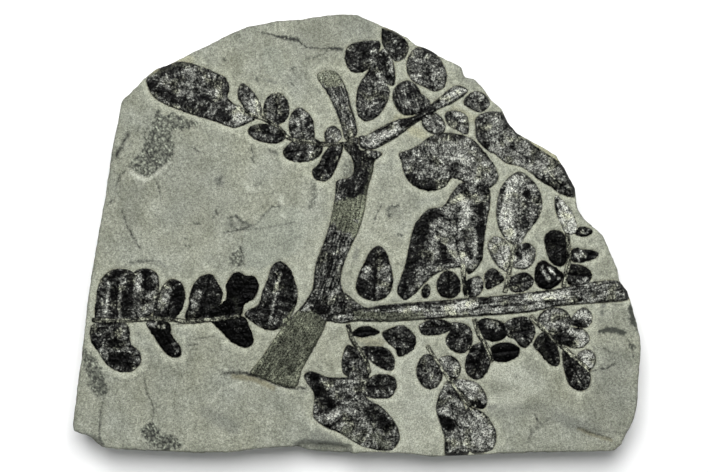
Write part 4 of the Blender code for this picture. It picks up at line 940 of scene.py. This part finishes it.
def film_material():
    """Coal film: jet black to silver grey, smooth, with fine flakes that its grain paints lighter and darker,
    partly as painted glints, and that its bump tilts to catch the light.
    """
    look, shader = painted_look("coal_film", 0.3, 1.52, grain=(0.45, 2, 0.8),
                                contrast=(0.36, 0.64, 0.06, 2.3), blotches=(2.2, 2),
                                gloss=(0.35, 0.65, 0.18, 0.34), bump_height=0.05)
    shader.inputs["Specular IOR Level"].default_value = 0.02
    return look


# ---------------------------------------------------------------- pieces

def linear(value):
    """Linear light for a screen value from 0 to 1."""
    return np.where(value <= 0.04045, value / 12.92, ((value + 0.055) / 1.055) ** 2.4)


def add_piece(name, verts, faces, colours, look, node):
    """A mesh piece in place of a CAD node, with its colour painted on its points."""
    place = (np.asarray(verts) - (*SLAB_CENTRE, 0)) * MM
    mesh = bpy.data.meshes.new(name)
    mesh.from_pydata(place.tolist(), [], faces)
    mesh.validate()
    mesh.materials.append(look)
    mesh.polygons.foreach_set("use_smooth", [True] * len(mesh.polygons))
    paint = mesh.color_attributes.new("paint", "FLOAT_COLOR", "POINT")
    paint.data.foreach_set("color", np.column_stack([colours, np.ones(len(colours))]).ravel())
    piece = bpy.data.objects.new(name, mesh)
    bpy.context.collection.objects.link(piece)
    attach(piece, "root")
    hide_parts(node)
    return piece


def closing_faces(top, top_triangles, loops, first):
    """Faces that close a sheet downwards: one wall round each of its edges and a coarse flat underside.

    Returns the flat places of the underside, numbered on from the sheet's points, and the faces.
    """
    flat, kept = filled(loops)
    below = {spot(p): first + i for i, p in enumerate(flat)}
    faces = [[first + i for i in reversed(t)] for t in kept]
    for loop in boundary_loops(top, top_triangles):
        faces += band(loop, [below[spot(top[i])] for i in loop])
    return flat, faces


# ---------------------------------------------------------------- the coal film

def middle_line(shape, outline):
    """The midrib of a leaflet, bent to follow the middle of its outline."""
    if shape["kind"] == "strand":
        return centripetal_curve(shape["points"], closed=False, steps=4)
    foot = np.asarray(shape["points"][0], float)
    tip = outline[np.argmax(np.hypot(*(outline - foot).T))]
    along = (tip - foot) / np.hypot(*(tip - foot))
    across = np.array([-along[1], along[0]])
    length = np.hypot(*(tip - foot))
    run, side = (outline - foot) @ along, (outline - foot) @ across
    line = [foot]
    for share in RIB_SHARES:
        near = np.abs(run - share * length) < 0.1 * length
        middle = (side[near].max() + side[near].min()) / 2
        line.append(foot + along * share * length + across * middle * RIB_BEND)
    line.append(tip)
    return centripetal_curve(line, closed=False, steps=6)


def film_fields(node, shapes, outlines, points):
    """Depth of each point inside its leaf, the leaf's tone, and the place along and across its grain."""
    depth = np.full(len(points), -np.inf)
    tone, along, across, seed, stalk = np.zeros((5, len(points)))
    order = sorted(range(len(shapes)), key=lambda k: shapes[k]["kind"] == "strand")
    for k in order:
        shape, outline = shapes[k], outlines[k]
        inside = -signed_distance(points, outline)
        mine = inside > (0 if shape["kind"] == "strand" else depth)
        if node in STEM_LINES and k == 0:
            line = centripetal_curve(STEM_LINES[node], closed=False, steps=6)
        else:
            line = middle_line(shape, outline)
        gap, run, side = distance_to_line(points, line)
        side = np.where(side < 0, -gap, gap)
        depth = np.maximum(inside, depth)
        stalk = np.where(mine, shape["kind"] == "strand", stalk)
        tone = np.where(mine, shape["tone"], tone)
        along = np.where(mine, run, along)
        across = np.where(mine, side, across)
        seed = np.where(mine, k, seed)
    return np.maximum(depth, 0), tone, along, across, seed, stalk


def vein_places(node, along, across, seed, stalk):
    """Places on a grid that is stretched along the veins, which leave the midrib and arch out to the edge."""
    if node in STEM_LINES:
        return across / 0.5 + 13 * seed, along / 3.2
    arched = along - 3.2 * (1 - np.exp(-np.abs(across) / 2.4))
    u = np.where(stalk > 0, across / 0.3, arched / 0.42)
    v = np.where(stalk > 0, along / 2.5, across / 2.6)
    return u + 17 * seed, v


def wrinkles(points):
    """Thin cracks and creases all over the film, from 0 to 1."""
    x, y = points.T
    return smoothstep(0.14, 0.02, np.abs(layered_noise(x, y, 2.4, 251, 2)))


def film_relief(node, points, depth, along, across, seed, stalk):
    """Height of the film's upper face above its foot."""
    x, y = points.T
    thickness = STEM_THICKNESS if node in STEM_LINES and node != "stem_tip" else FILM_THICKNESS
    rounding = FILM_ROUNDING * (1.8 if node in STEM_LINES else 1)
    rise = np.sqrt(1 - (1 - np.clip(depth / rounding, 0, 1)) ** 2)
    u, v = vein_places(node, along, across, seed, stalk)
    veins = layered_noise(u, v, 1, 41, 2)
    crinkle = layered_noise(x, y, 1.7, 43, 3)
    chips = layered_noise(x, y, 0.55, 47, 1)
    relief = 0.05 * veins + 0.06 * crinkle + 0.02 * chips - 0.06 * wrinkles(points)
    if node not in STEM_LINES:
        groove = 0.14 * np.exp(-(across / 0.4) ** 2)
        ridge = 0.06 * smoothstep(0.6, 0.3, np.abs(across)) - 0.05 * smoothstep(0.45, 0.65, np.abs(across))
        relief += np.where(stalk > 0, ridge, -groove)
        relief -= 0.05 * smoothstep(1.5, 4.5, depth)
    relief *= 1 - 0.75 * worn_cast(points)[0]
    return 0.05 + rise * (thickness - 0.12 + relief)


def worn_cast(points):
    """How bare of coal the cast is, from 0 to 1, and the grey it shows."""
    x, y = points.T
    bare = np.zeros(len(points))
    grey = np.full(len(points), 0.3)
    torn = 0.5 * layered_noise(x, y, 1.6, 233, 3)
    for amount, tone, width, line in WORN:
        share = smoothstep(width / 2 + 0.35, width / 2 - 0.35, distance_to_line(points, line)[0] + torn)
        bare = np.maximum(bare, amount * share)
        grey += (tone - grey) * share
    return bare, grey


def film_colours(node, points, depth, tone, along, across, seed, stalk):
    """Painted colour of the film: jet, with silver grey that is partly the flaked coal's colour and partly a
    painted sheen for light that the coal would mirror.
    """
    x, y = points.T
    # patches of tone over the leaves; the light ones are partly a painted sheen on the coal
    for patch_tone, width, line in SHEEN_AND_TONE_PATCHES:
        gap = distance_to_line(points, line)[0] + 0.35 * layered_noise(x, y, 1.1, 53, 2)
        share = smoothstep(width / 2 + 0.6, width / 2 - 0.6, gap)
        tone = tone + (patch_tone - tone) * 0.9 * share
    u, v = vein_places(node, along, across, seed, stalk)
    drawn_out = 1.0 if node in STEM_LINES else stalk
    streaks = layered_noise(u, v, 1, 59, 2)
    folds = layered_noise(u / 3.5, v / 1.5, 1, 241, 2)
    clouds = layered_noise(x, y, 3.2, 61, 3, 0.6)
    flecks = layered_noise(x, y, 0.7, 67, 2, 0.8)
    leafy = 0.32 * streaks + 0.38 * folds + 0.55 * clouds + 0.6 * flecks
    mix = leafy + (0.55 * streaks + 0.35 * folds + 0.32 * clouds + 0.55 * flecks - leafy) * drawn_out
    # grey leaves have a darker rim, and a dark line on the midrib
    tone = tone - 0.22 * smoothstep(0.7, 0.15, depth) * smoothstep(0.2, 0.6, tone) * (1 - stalk)
    if node not in STEM_LINES:
        midrib = 0.25 * np.exp(-(across / 0.3) ** 2) * smoothstep(0.3, 0.8, depth)
        uneven = 0.3 * layered_noise(along / 2, across, 1, 263, 2)
        stalk_edge = 0.12 * smoothstep(0.3, 0.6, np.abs(across)) - uneven
        tone = tone - np.where(stalk > 0, stalk_edge, midrib)
    # dark film is jet with rare painted glints, and grey film is mottled evenly
    middle = (4 + 114 * np.clip(tone, 0, 1.4) + 115 * np.clip(tone - 0.75, 0, 0.6)) / 255
    even = middle + (0.25 - 0.1 * smoothstep(0.6, 1.0, tone)) * mix
    black = middle * 0.7 * np.exp(1.35 * mix)
    share = smoothstep(0.05, 0.45, tone)
    grey = np.clip(black + (even - black) * share, 0.01, 0.66)
    # painted glints: the last term adds small light flecks in place of highlights on the crinkled coal
    grey = grey * (1 - 0.6 * wrinkles(points)) + 0.3 * smoothstep(1.2, 1.9, layered_noise(x, y, 0.5, 257, 1))
    olive = np.maximum(smoothstep(0.2, 1.3, layered_noise(x, y, 4.5, 71, 2)), stalk)
    tint = np.column_stack([1.0 + 0.01 * olive, 1.01 + 0.01 * olive, 0.96 - 0.055 * olive])
    colour = grey[:, None] * tint
    grain = layered_noise(u, v / 1.5, 1, 239, 3)
    bare, cast = worn_cast(points)
    cast = (cast + 0.065 * grain + 0.03 * clouds + 0.035 * flecks)[:, None] * np.array(CAST_TINT)
    return linear(np.clip(blend(colour, cast, bare), 0.01, 0.71))


def add_film(node, shapes, neighbours, edge_limit, look):
    """A node's leaves as one closed piece of crinkled film, with its foot sunk into the shale."""
    outlines = [outline_of(s, EDGE_SPACING) for s in shapes]
    loops = union_loops(outlines, neighbours, edge_limit)
    loops = [ragged(evenly_spaced(loop, EDGE_SPACING, closed=True), 0.2) for loop in loops]
    corners = np.vstack(loops)
    grid = jittered_grid(corners.min(0), corners.max(0), FILM_SPACING, seed=5)
    room = np.min([np.abs(signed_distance(grid, loop)) for loop in loops], axis=0)
    flat, triangles = filled(loops, grid[room > 0.5 * FILM_SPACING])
    triangles, used = renumbered(triangles)
    flat = flat[used]

    edge = np.zeros(len(flat), bool)
    rims = boundary_loops(flat, triangles)
    edge[[i for loop in rims for i in loop]] = True
    depth, tone, along, across, seed, stalk = film_fields(node, shapes, outlines, flat)
    outer_gap = np.min([np.abs(signed_distance(flat, loop)) for loop in loops], axis=0)
    relief_depth = np.where(edge, 0, np.minimum(np.maximum(depth, 0.12), outer_gap))
    top = FLOOR + film_relief(node, flat, relief_depth, along, across, seed, stalk)
    top = np.minimum(top, FILM_CEILING)
    colours = film_colours(node, flat, relief_depth, tone, along, across, seed, stalk)
    under, closing = closing_faces(flat, triangles, [flat[loop] for loop in rims], len(flat))
    foot = np.full(len(under), FILM_FOOT)
    verts = np.vstack([np.column_stack([flat, top]), np.column_stack([under, foot])])
    colours = np.vstack([colours, np.full((len(under), 3), 0.01)])
    return add_piece(node + "_film", verts, [*triangles, *closing], colours, look, node)


# ---------------------------------------------------------------- the slab

def ragged(loop, size):
    """The loop with its edge roughened by up to about the given size."""
    x, y = loop.T
    return loop - left_of(run_round(loop)) * (size * layered_noise(x, y, 1.2, 73, 3))[:, None]


def slab_edge():
    """Outline of the face, chipped a little inwards from the part's."""
    loop = evenly_spaced(counter_clockwise(np.array(SLAB_OUTLINE, float)), WALL_SPACING, closed=True)
    x, y = loop.T
    chips = 0.16 + 0.11 * layered_noise(x, y, 9, 79, 2) + 0.07 * layered_noise(x, y, 1.8, 83, 2)
    return loop + left_of(run_round(loop)) * np.clip(chips, 0.02, 0.8)[:, None]


def pocket_share(points, leaf_gap):
    """How far down the wall of a pocket each point lies, from 0 on the face to 1 on the pocket's floor."""
    x, y = points.T
    wobble = 0.35 * layered_noise(x, y, 2.6, 89, 3)
    return smoothstep(BEVEL_END + wobble, BEVEL_START, leaf_gap)


def crack_fields(points):
    """Depth of the cracks at each point, and how much painted shade in the crevices darkens it."""
    x, y = points.T
    depth, dark = np.zeros((2, len(points)))
    crumbled = 0.3 + 0.9 * smoothstep(-0.6, 0.6, layered_noise(x, y, 0.9, 271, 2))
    for deep, width, crevice_shade, line in CRACKS:
        gap, run, _ = distance_to_line(points, line)
        length = run.max()
        gap = gap + 0.12 * layered_noise(x, y, 1.2, 97, 2)
        open_share = smoothstep(0, 1.2, run) * smoothstep(length, length - 1.2, run)
        share = np.exp(-(gap / (width * 0.6)) ** 2) * (0.55 + 0.45 * open_share)
        depth = np.maximum(depth, deep * share)
        dark = np.maximum(dark, crevice_shade * share * crumbled)
    return depth, dark


def step_drop(points):
    """How far the split layers lower the face, on the right of each step's line and dying away from it."""
    drop = np.zeros(len(points))
    for height, reach, line in STEPS:
        gap, run, side = distance_to_line(points, line)
        length = run.max()
        ends = smoothstep(0, 0.25 * length, run) * smoothstep(length, 0.75 * length, run)
        fade = smoothstep(reach, 0, gap)
        drop += height * ends * fade * smoothstep(0.25, -0.35, side)
    return drop


def face_height(points, leaf_gap, edge_gap):
    """Level of the face: gentle waves and thin split layers, less the pockets, steps, cracks and chips."""
    x, y = points.T
    height = np.full(len(points), FACE - 0.16)
    height += 0.09 * layered_noise(x, y, 30, 101, 2)
    height += 0.035 * layered_noise(x, y, 4.5, 103, 3)
    height += 0.018 * layered_noise(x, y, 0.9, 107, 2)
    shelf = layered_noise(x, y, 16, 109, 3)
    height -= 0.1 * smoothstep(0.25, 0.4, shelf) + 0.08 * smoothstep(-0.5, -0.42, shelf)
    height -= POCKET_DEPTH * pocket_share(points, leaf_gap) * (0.95 + 0.06 * layered_noise(x, y, 2.2, 113, 2))
    height -= step_drop(points)
    height -= crack_fields(points)[0]
    for drop, foot in SPLITS:
        gap = signed_distance(points, counter_clockwise(np.array(foot, float)))
        gap = gap + 0.25 * layered_noise(x, y, 2.5, 127, 2)
        height -= drop * smoothstep(0.5 + 0.25 * drop, -0.1, gap)
    height -= np.exp(-(edge_gap / 0.5) ** 2) * (0.22 + 0.12 * layered_noise(x, y, 3, 131, 2))
    return np.minimum(height, FACE)


def marked(colour, kind, share, points):
    """The colour with one kind of mark laid over it where its share is above 0."""
    x, y = points.T
    laid = np.tile(MARKS[kind], (len(points), 1))
    if kind == "ghost":
        specks = layered_noise(x + 0.4 * y, y / 2, 0.55, 137, 3, 0.8)
        laid = laid * np.clip(0.97 + 0.8 * specks, 0.3, 2.2)[:, None]
    return colour + (laid - colour) * share[:, None]


def face_colours(points, leaf_gap, edge_gap):
    """Painted colour of the shale's face: pale beside the leaves, with imprints and stains, painted shade
    along the cracks, and painted light and shade on a few low swells.
    """
    x, y = points.T
    shade = 0.014 * layered_noise(x, y, 26, 139, 2) + 0.026 * layered_noise(x, y, 5, 149, 3)
    shade += 0.048 * layered_noise(x, y, 0.8, 151, 2)
    scratches = layered_noise(x * 0.9 + y * 0.35, (y * 0.9 - x * 0.35) / 6, 1.1, 153, 2)
    shade += 0.018 * scratches
    colour = np.array(SHALE) + shade[:, None]
    warm = 0.005 * layered_noise(x, y, 14, 157, 2)
    colour[:, 2] -= warm
    colour[:, 0] += 0.3 * warm
    ring = smoothstep(3.2, 0.6, leaf_gap + 0.7 * layered_noise(x, y, 2.6, 173, 3))
    ring = ring * (0.6 + 0.2 * layered_noise(x, y, 1.8, 175, 3))
    colour = blend(colour, FRESH_SHALE, np.clip(ring, 0, 1))
    colour = colour * (1 - 0.1 * smoothstep(0.8, 0, edge_gap))[:, None]
    for kind, amount, outline in AREAS:
        curve = centripetal_curve(outline, closed=True, steps=4)
        gap = signed_distance(points, counter_clockwise(curve)) + 0.4 * layered_noise(x, y, 1.4, 163, 3)
        colour = marked(colour, kind, amount * smoothstep(0.3, -0.3, gap), points)
    crumbled = smoothstep(-1.0, 0, layered_noise(x, y, 0.8, 269, 2))
    for kind, amount, width, line in STROKES:
        gap = distance_to_line(points, line)[0] + 0.18 * layered_noise(x, y, 1.3, 167, 2)
        soft = 0.15 + 0.12 * width if kind == "dark" else 0.2 + 0.2 * width
        share = amount * smoothstep(width / 2 + soft, width / 2 - soft, gap)
        colour = marked(colour, kind, share * (crumbled if kind == "dark" else 1), points)
    stained = smoothstep(0.45, 0.05, leaf_gap) * (0.3 + 0.3 * layered_noise(x, y, 1.5, 179, 2))
    colour = blend(colour, MARKS["rust"], np.clip(stained, 0, 0.6))
    under = smoothstep(0.12, -0.05, leaf_gap)
    colour = blend(colour, UNDER_FILM, under)
    # painted shade along the cracks
    colour = colour * (1 - crack_fields(points)[1])[:, None]
    dashes = layered_noise((x + 0.6 * y) / 0.5, (y - 0.6 * x) / 2.2, 1, 277, 1)
    colour = colour * (1 - 0.3 * smoothstep(1.7, 2.3, dashes))[:, None]
    crumbs = layered_noise(x, y, 0.9, 181, 2)
    colour = colour * (1 - 0.3 * smoothstep(1.5, 2.2, crumbs))[:, None]
    return linear(np.clip(colour, 0.03, 0.9))


def wall_rings(rim, heights):
    """Points of the side walls ring by ring, stepped along the layers of the shale, with their colours."""
    count = len(rim)
    rings = int(FACE / WALL_SPACING)
    run = run_round(rim)
    inward = left_of(sum(np.roll(run, k, axis=0) for k in range(-3, 4)))
    x, y = rim.T
    verts, colours = [], []
    for k in range(1, rings + 1):
        share = 1 - k / rings
        z = heights * share
        level = (z + 0.5 * layered_noise(x, y, 18, 191, 1)) / LAYER
        layer = np.floor(level)
        step = lattice_hash(layer, np.zeros(count), 193)
        ledge = layered_noise(x + 31 * layer, y - 17 * layer, 7, 197, 2)
        broad = layered_noise(x, y + z, 22, 199, 1)
        fine = layered_noise(x + z * 1.7, y - z * 1.3, 1.6, 211, 2)
        depth = 0.12 + 0.95 * (1 - share) + 0.7 * step + 0.3 * ledge + 0.25 * broad + 0.1 * fine
        depth = np.clip(depth, 0.02, 2.2) * smoothstep(-0.04, 0.1, 1 - share)
        verts.append(np.column_stack([rim + inward * depth[:, None], z]))
        into = level - layer
        seam = smoothstep(0.3, 0, np.minimum(into, 1 - into)) * smoothstep(0.35, 0.75, step)
        tone = 0.56 + 0.13 * (step - 0.5) + 0.035 * fine + 0.03 * broad - 0.1 * seam
        rust = 0.35 * smoothstep(0.7, 1.6, layered_noise(x - z, y + 2 * z, 9, 223, 2))
        colour = blend(tone[:, None] * np.array(WALL_TINT), WALL_RUST, rust)
        colours.append(linear(np.clip(colour, 0, 1)))
    return np.vstack(verts), np.vstack(colours), rings


def add_slab(leaf_outlines, look):
    """The slab as one closed piece: its face with the pockets, layered side walls and a rough flat back."""
    edge = slab_edge()
    merged = union_loops(leaf_outlines)

    def leaf_distance(points):
        return np.min([signed_distance(points, loop) for loop in leaf_outlines], axis=0)

    fine = jittered_grid(edge.min(0), edge.max(0), FACE_SPACING, seed=7)
    room = -signed_distance(fine, edge)
    fine = fine[room > 0.35]
    fine = fine[leaf_distance(fine) > 0.05]
    hidden = jittered_grid(edge.min(0), edge.max(0), HIDDEN_SPACING, seed=11)
    hidden = hidden[leaf_distance(hidden) < -0.6]
    rows = [fine, hidden]
    for _, width, _, line in CRACKS:
        course = evenly_spaced(np.array(line, float), CRACK_SPACING, closed=False)
        side = left_of(np.gradient(course, axis=0)) * width * 0.6
        rows += [course, course + side, course - side]
    for loop in merged:
        rows.append(evenly_spaced(loop, RIM_SPACING, closed=True))
    points = np.vstack(rows)
    points = points[-signed_distance(points, edge) > 0.3]
    flat, triangles = filled([edge], points)
    (rim,) = boundary_loops(flat, triangles)

    leaf_gap = leaf_distance(flat)
    edge_gap = -signed_distance(flat, edge)
    edge_gap[rim] = 0
    heights = face_height(flat, leaf_gap, edge_gap)
    colours = face_colours(flat, leaf_gap, edge_gap)
    wall, wall_colours, rings = wall_rings(flat[rim], heights[rim])
    count, first = len(rim), len(flat)
    faces = [list(t) for t in triangles]
    upper = rim
    for k in range(rings):
        lower = list(range(first + k * count, first + (k + 1) * count))
        faces += band(upper, lower)
        upper = lower

    foot = wall[-count:, :2]
    ground = jittered_grid(foot.min(0), foot.max(0), BACK_SPACING, seed=13)
    ground = ground[-signed_distance(ground, foot) > 1.2]
    back, back_triangles = filled([foot], ground)
    index = {spot(p): upper[i] for i, p in enumerate(foot)}
    start = first + len(wall)
    numbers = [index.get(spot(p), start + i) for i, p in enumerate(back)]
    faces += [[numbers[i] for i in reversed(t)] for t in back_triangles]
    bx, by = back.T
    back_heights = 0.12 + 0.1 * layered_noise(bx, by, 8, 227, 3)
    back_verts = np.column_stack([back, np.clip(back_heights, 0, 0.5)])
    back_tone = (0.54 + 0.02 * layered_noise(bx, by, 6, 229, 3))[:, None] * np.array(WALL_TINT)
    verts = np.vstack([np.column_stack([flat, heights]), wall, back_verts])
    colours = np.vstack([colours, wall_colours, linear(back_tone)])
    faces, used = renumbered(faces)
    return add_piece("slab_shale", verts[used], faces, colours[used], look, "slab")


# ---------------------------------------------------------------- studio

def add_floor():
    """Pale floor, a hair below the slab's back."""
    mesh = bpy.data.meshes.new("floor")
    half = 4.0
    level = -0.02 * MM
    corners = [(-half, -half, level), (half, -half, level), (half, half, level), (-half, half, level)]
    mesh.from_pydata(corners, [], [(0, 1, 2, 3)])
    look, _, shader = new_material("floor", 0.9, 1.45)
    shader.inputs["Base Color"].default_value = (0.96, 0.96, 0.96, 1)
    mesh.materials.append(look)
    floor = bpy.data.objects.new("floor", mesh)
    bpy.context.collection.objects.link(floor)


def add_softbox(name, place, width, height, power):
    """Rectangular light that faces the origin; metres and watts."""
    lamp = bpy.data.lights.new(name, "AREA")
    lamp.shape = "RECTANGLE"
    lamp.size = width
    lamp.size_y = height
    lamp.energy = power
    holder = bpy.data.objects.new(name, lamp)
    holder.location = place
    holder.rotation_euler = (-Vector(place)).to_track_quat("-Z", "Y").to_euler()
    holder.visible_camera = False
    bpy.context.collection.objects.link(holder)


def add_sky():
    """Even light from low down all round and little from straight above, where it would dull the coal."""
    world = bpy.data.worlds.new("studio")
    bpy.context.scene.world = world
    world.use_nodes = True
    tree = world.node_tree
    direction = add_node(tree, "ShaderNodeTexCoord").outputs["Generated"]
    height = add_node(tree, "ShaderNodeSeparateXYZ", [("Vector", direction)]).outputs["Z"]
    strength = spread(tree, height, 0.15, 0.7, 0.6, 0.03)
    tree.links.new(strength, tree.nodes["Background"].inputs["Strength"])
    tree.nodes["Background"].inputs["Color"].default_value = (0.94, 0.98, 1.0, 1)


def add_camera():
    """Straight above the slab, looking down, with +Y at the top."""
    camera = bpy.data.cameras.new("camera")
    camera.lens = 100
    camera.sensor_width = 36
    camera.clip_end = 20
    holder = bpy.data.objects.new("camera", camera)
    distance = FRAME_WIDTH * MM * camera.lens / camera.sensor_width
    holder.location = (FRAME_CENTRE[0] * MM, FRAME_CENTRE[1] * MM, FACE * MM + distance)
    bpy.context.collection.objects.link(holder)
    bpy.context.scene.camera = holder


shale = shale_material()
coal = film_material()
slab_outline = evenly_spaced(np.array(SLAB_OUTLINE, float), WALL_SPACING, closed=True)
film_limit = evenly_spaced(grown(counter_clockwise(slab_outline), -FILM_INSET), LIMIT_SPACING, closed=True)
finished = []
for node, shapes in FROND.items():
    neighbours = [grown(loop, FILM_GAP) for loop in finished]
    add_film(node, shapes, neighbours, film_limit, coal)
    finished += [outline_of(s, EDGE_SPACING) for s in shapes]
add_slab(finished, shale)
add_floor()
add_softbox("softbox_above", (-0.02, 0.33, 0.8), width=0.5, height=0.5, power=9.2)
for side, x in (("left", -0.66), ("right", 0.66)):
    add_softbox("softbox_" + side, (x, 0.0, 0.68), width=0.4, height=0.6, power=0.7)
add_sky()
add_camera()
bpy.context.scene.view_settings.view_transform = "Standard"
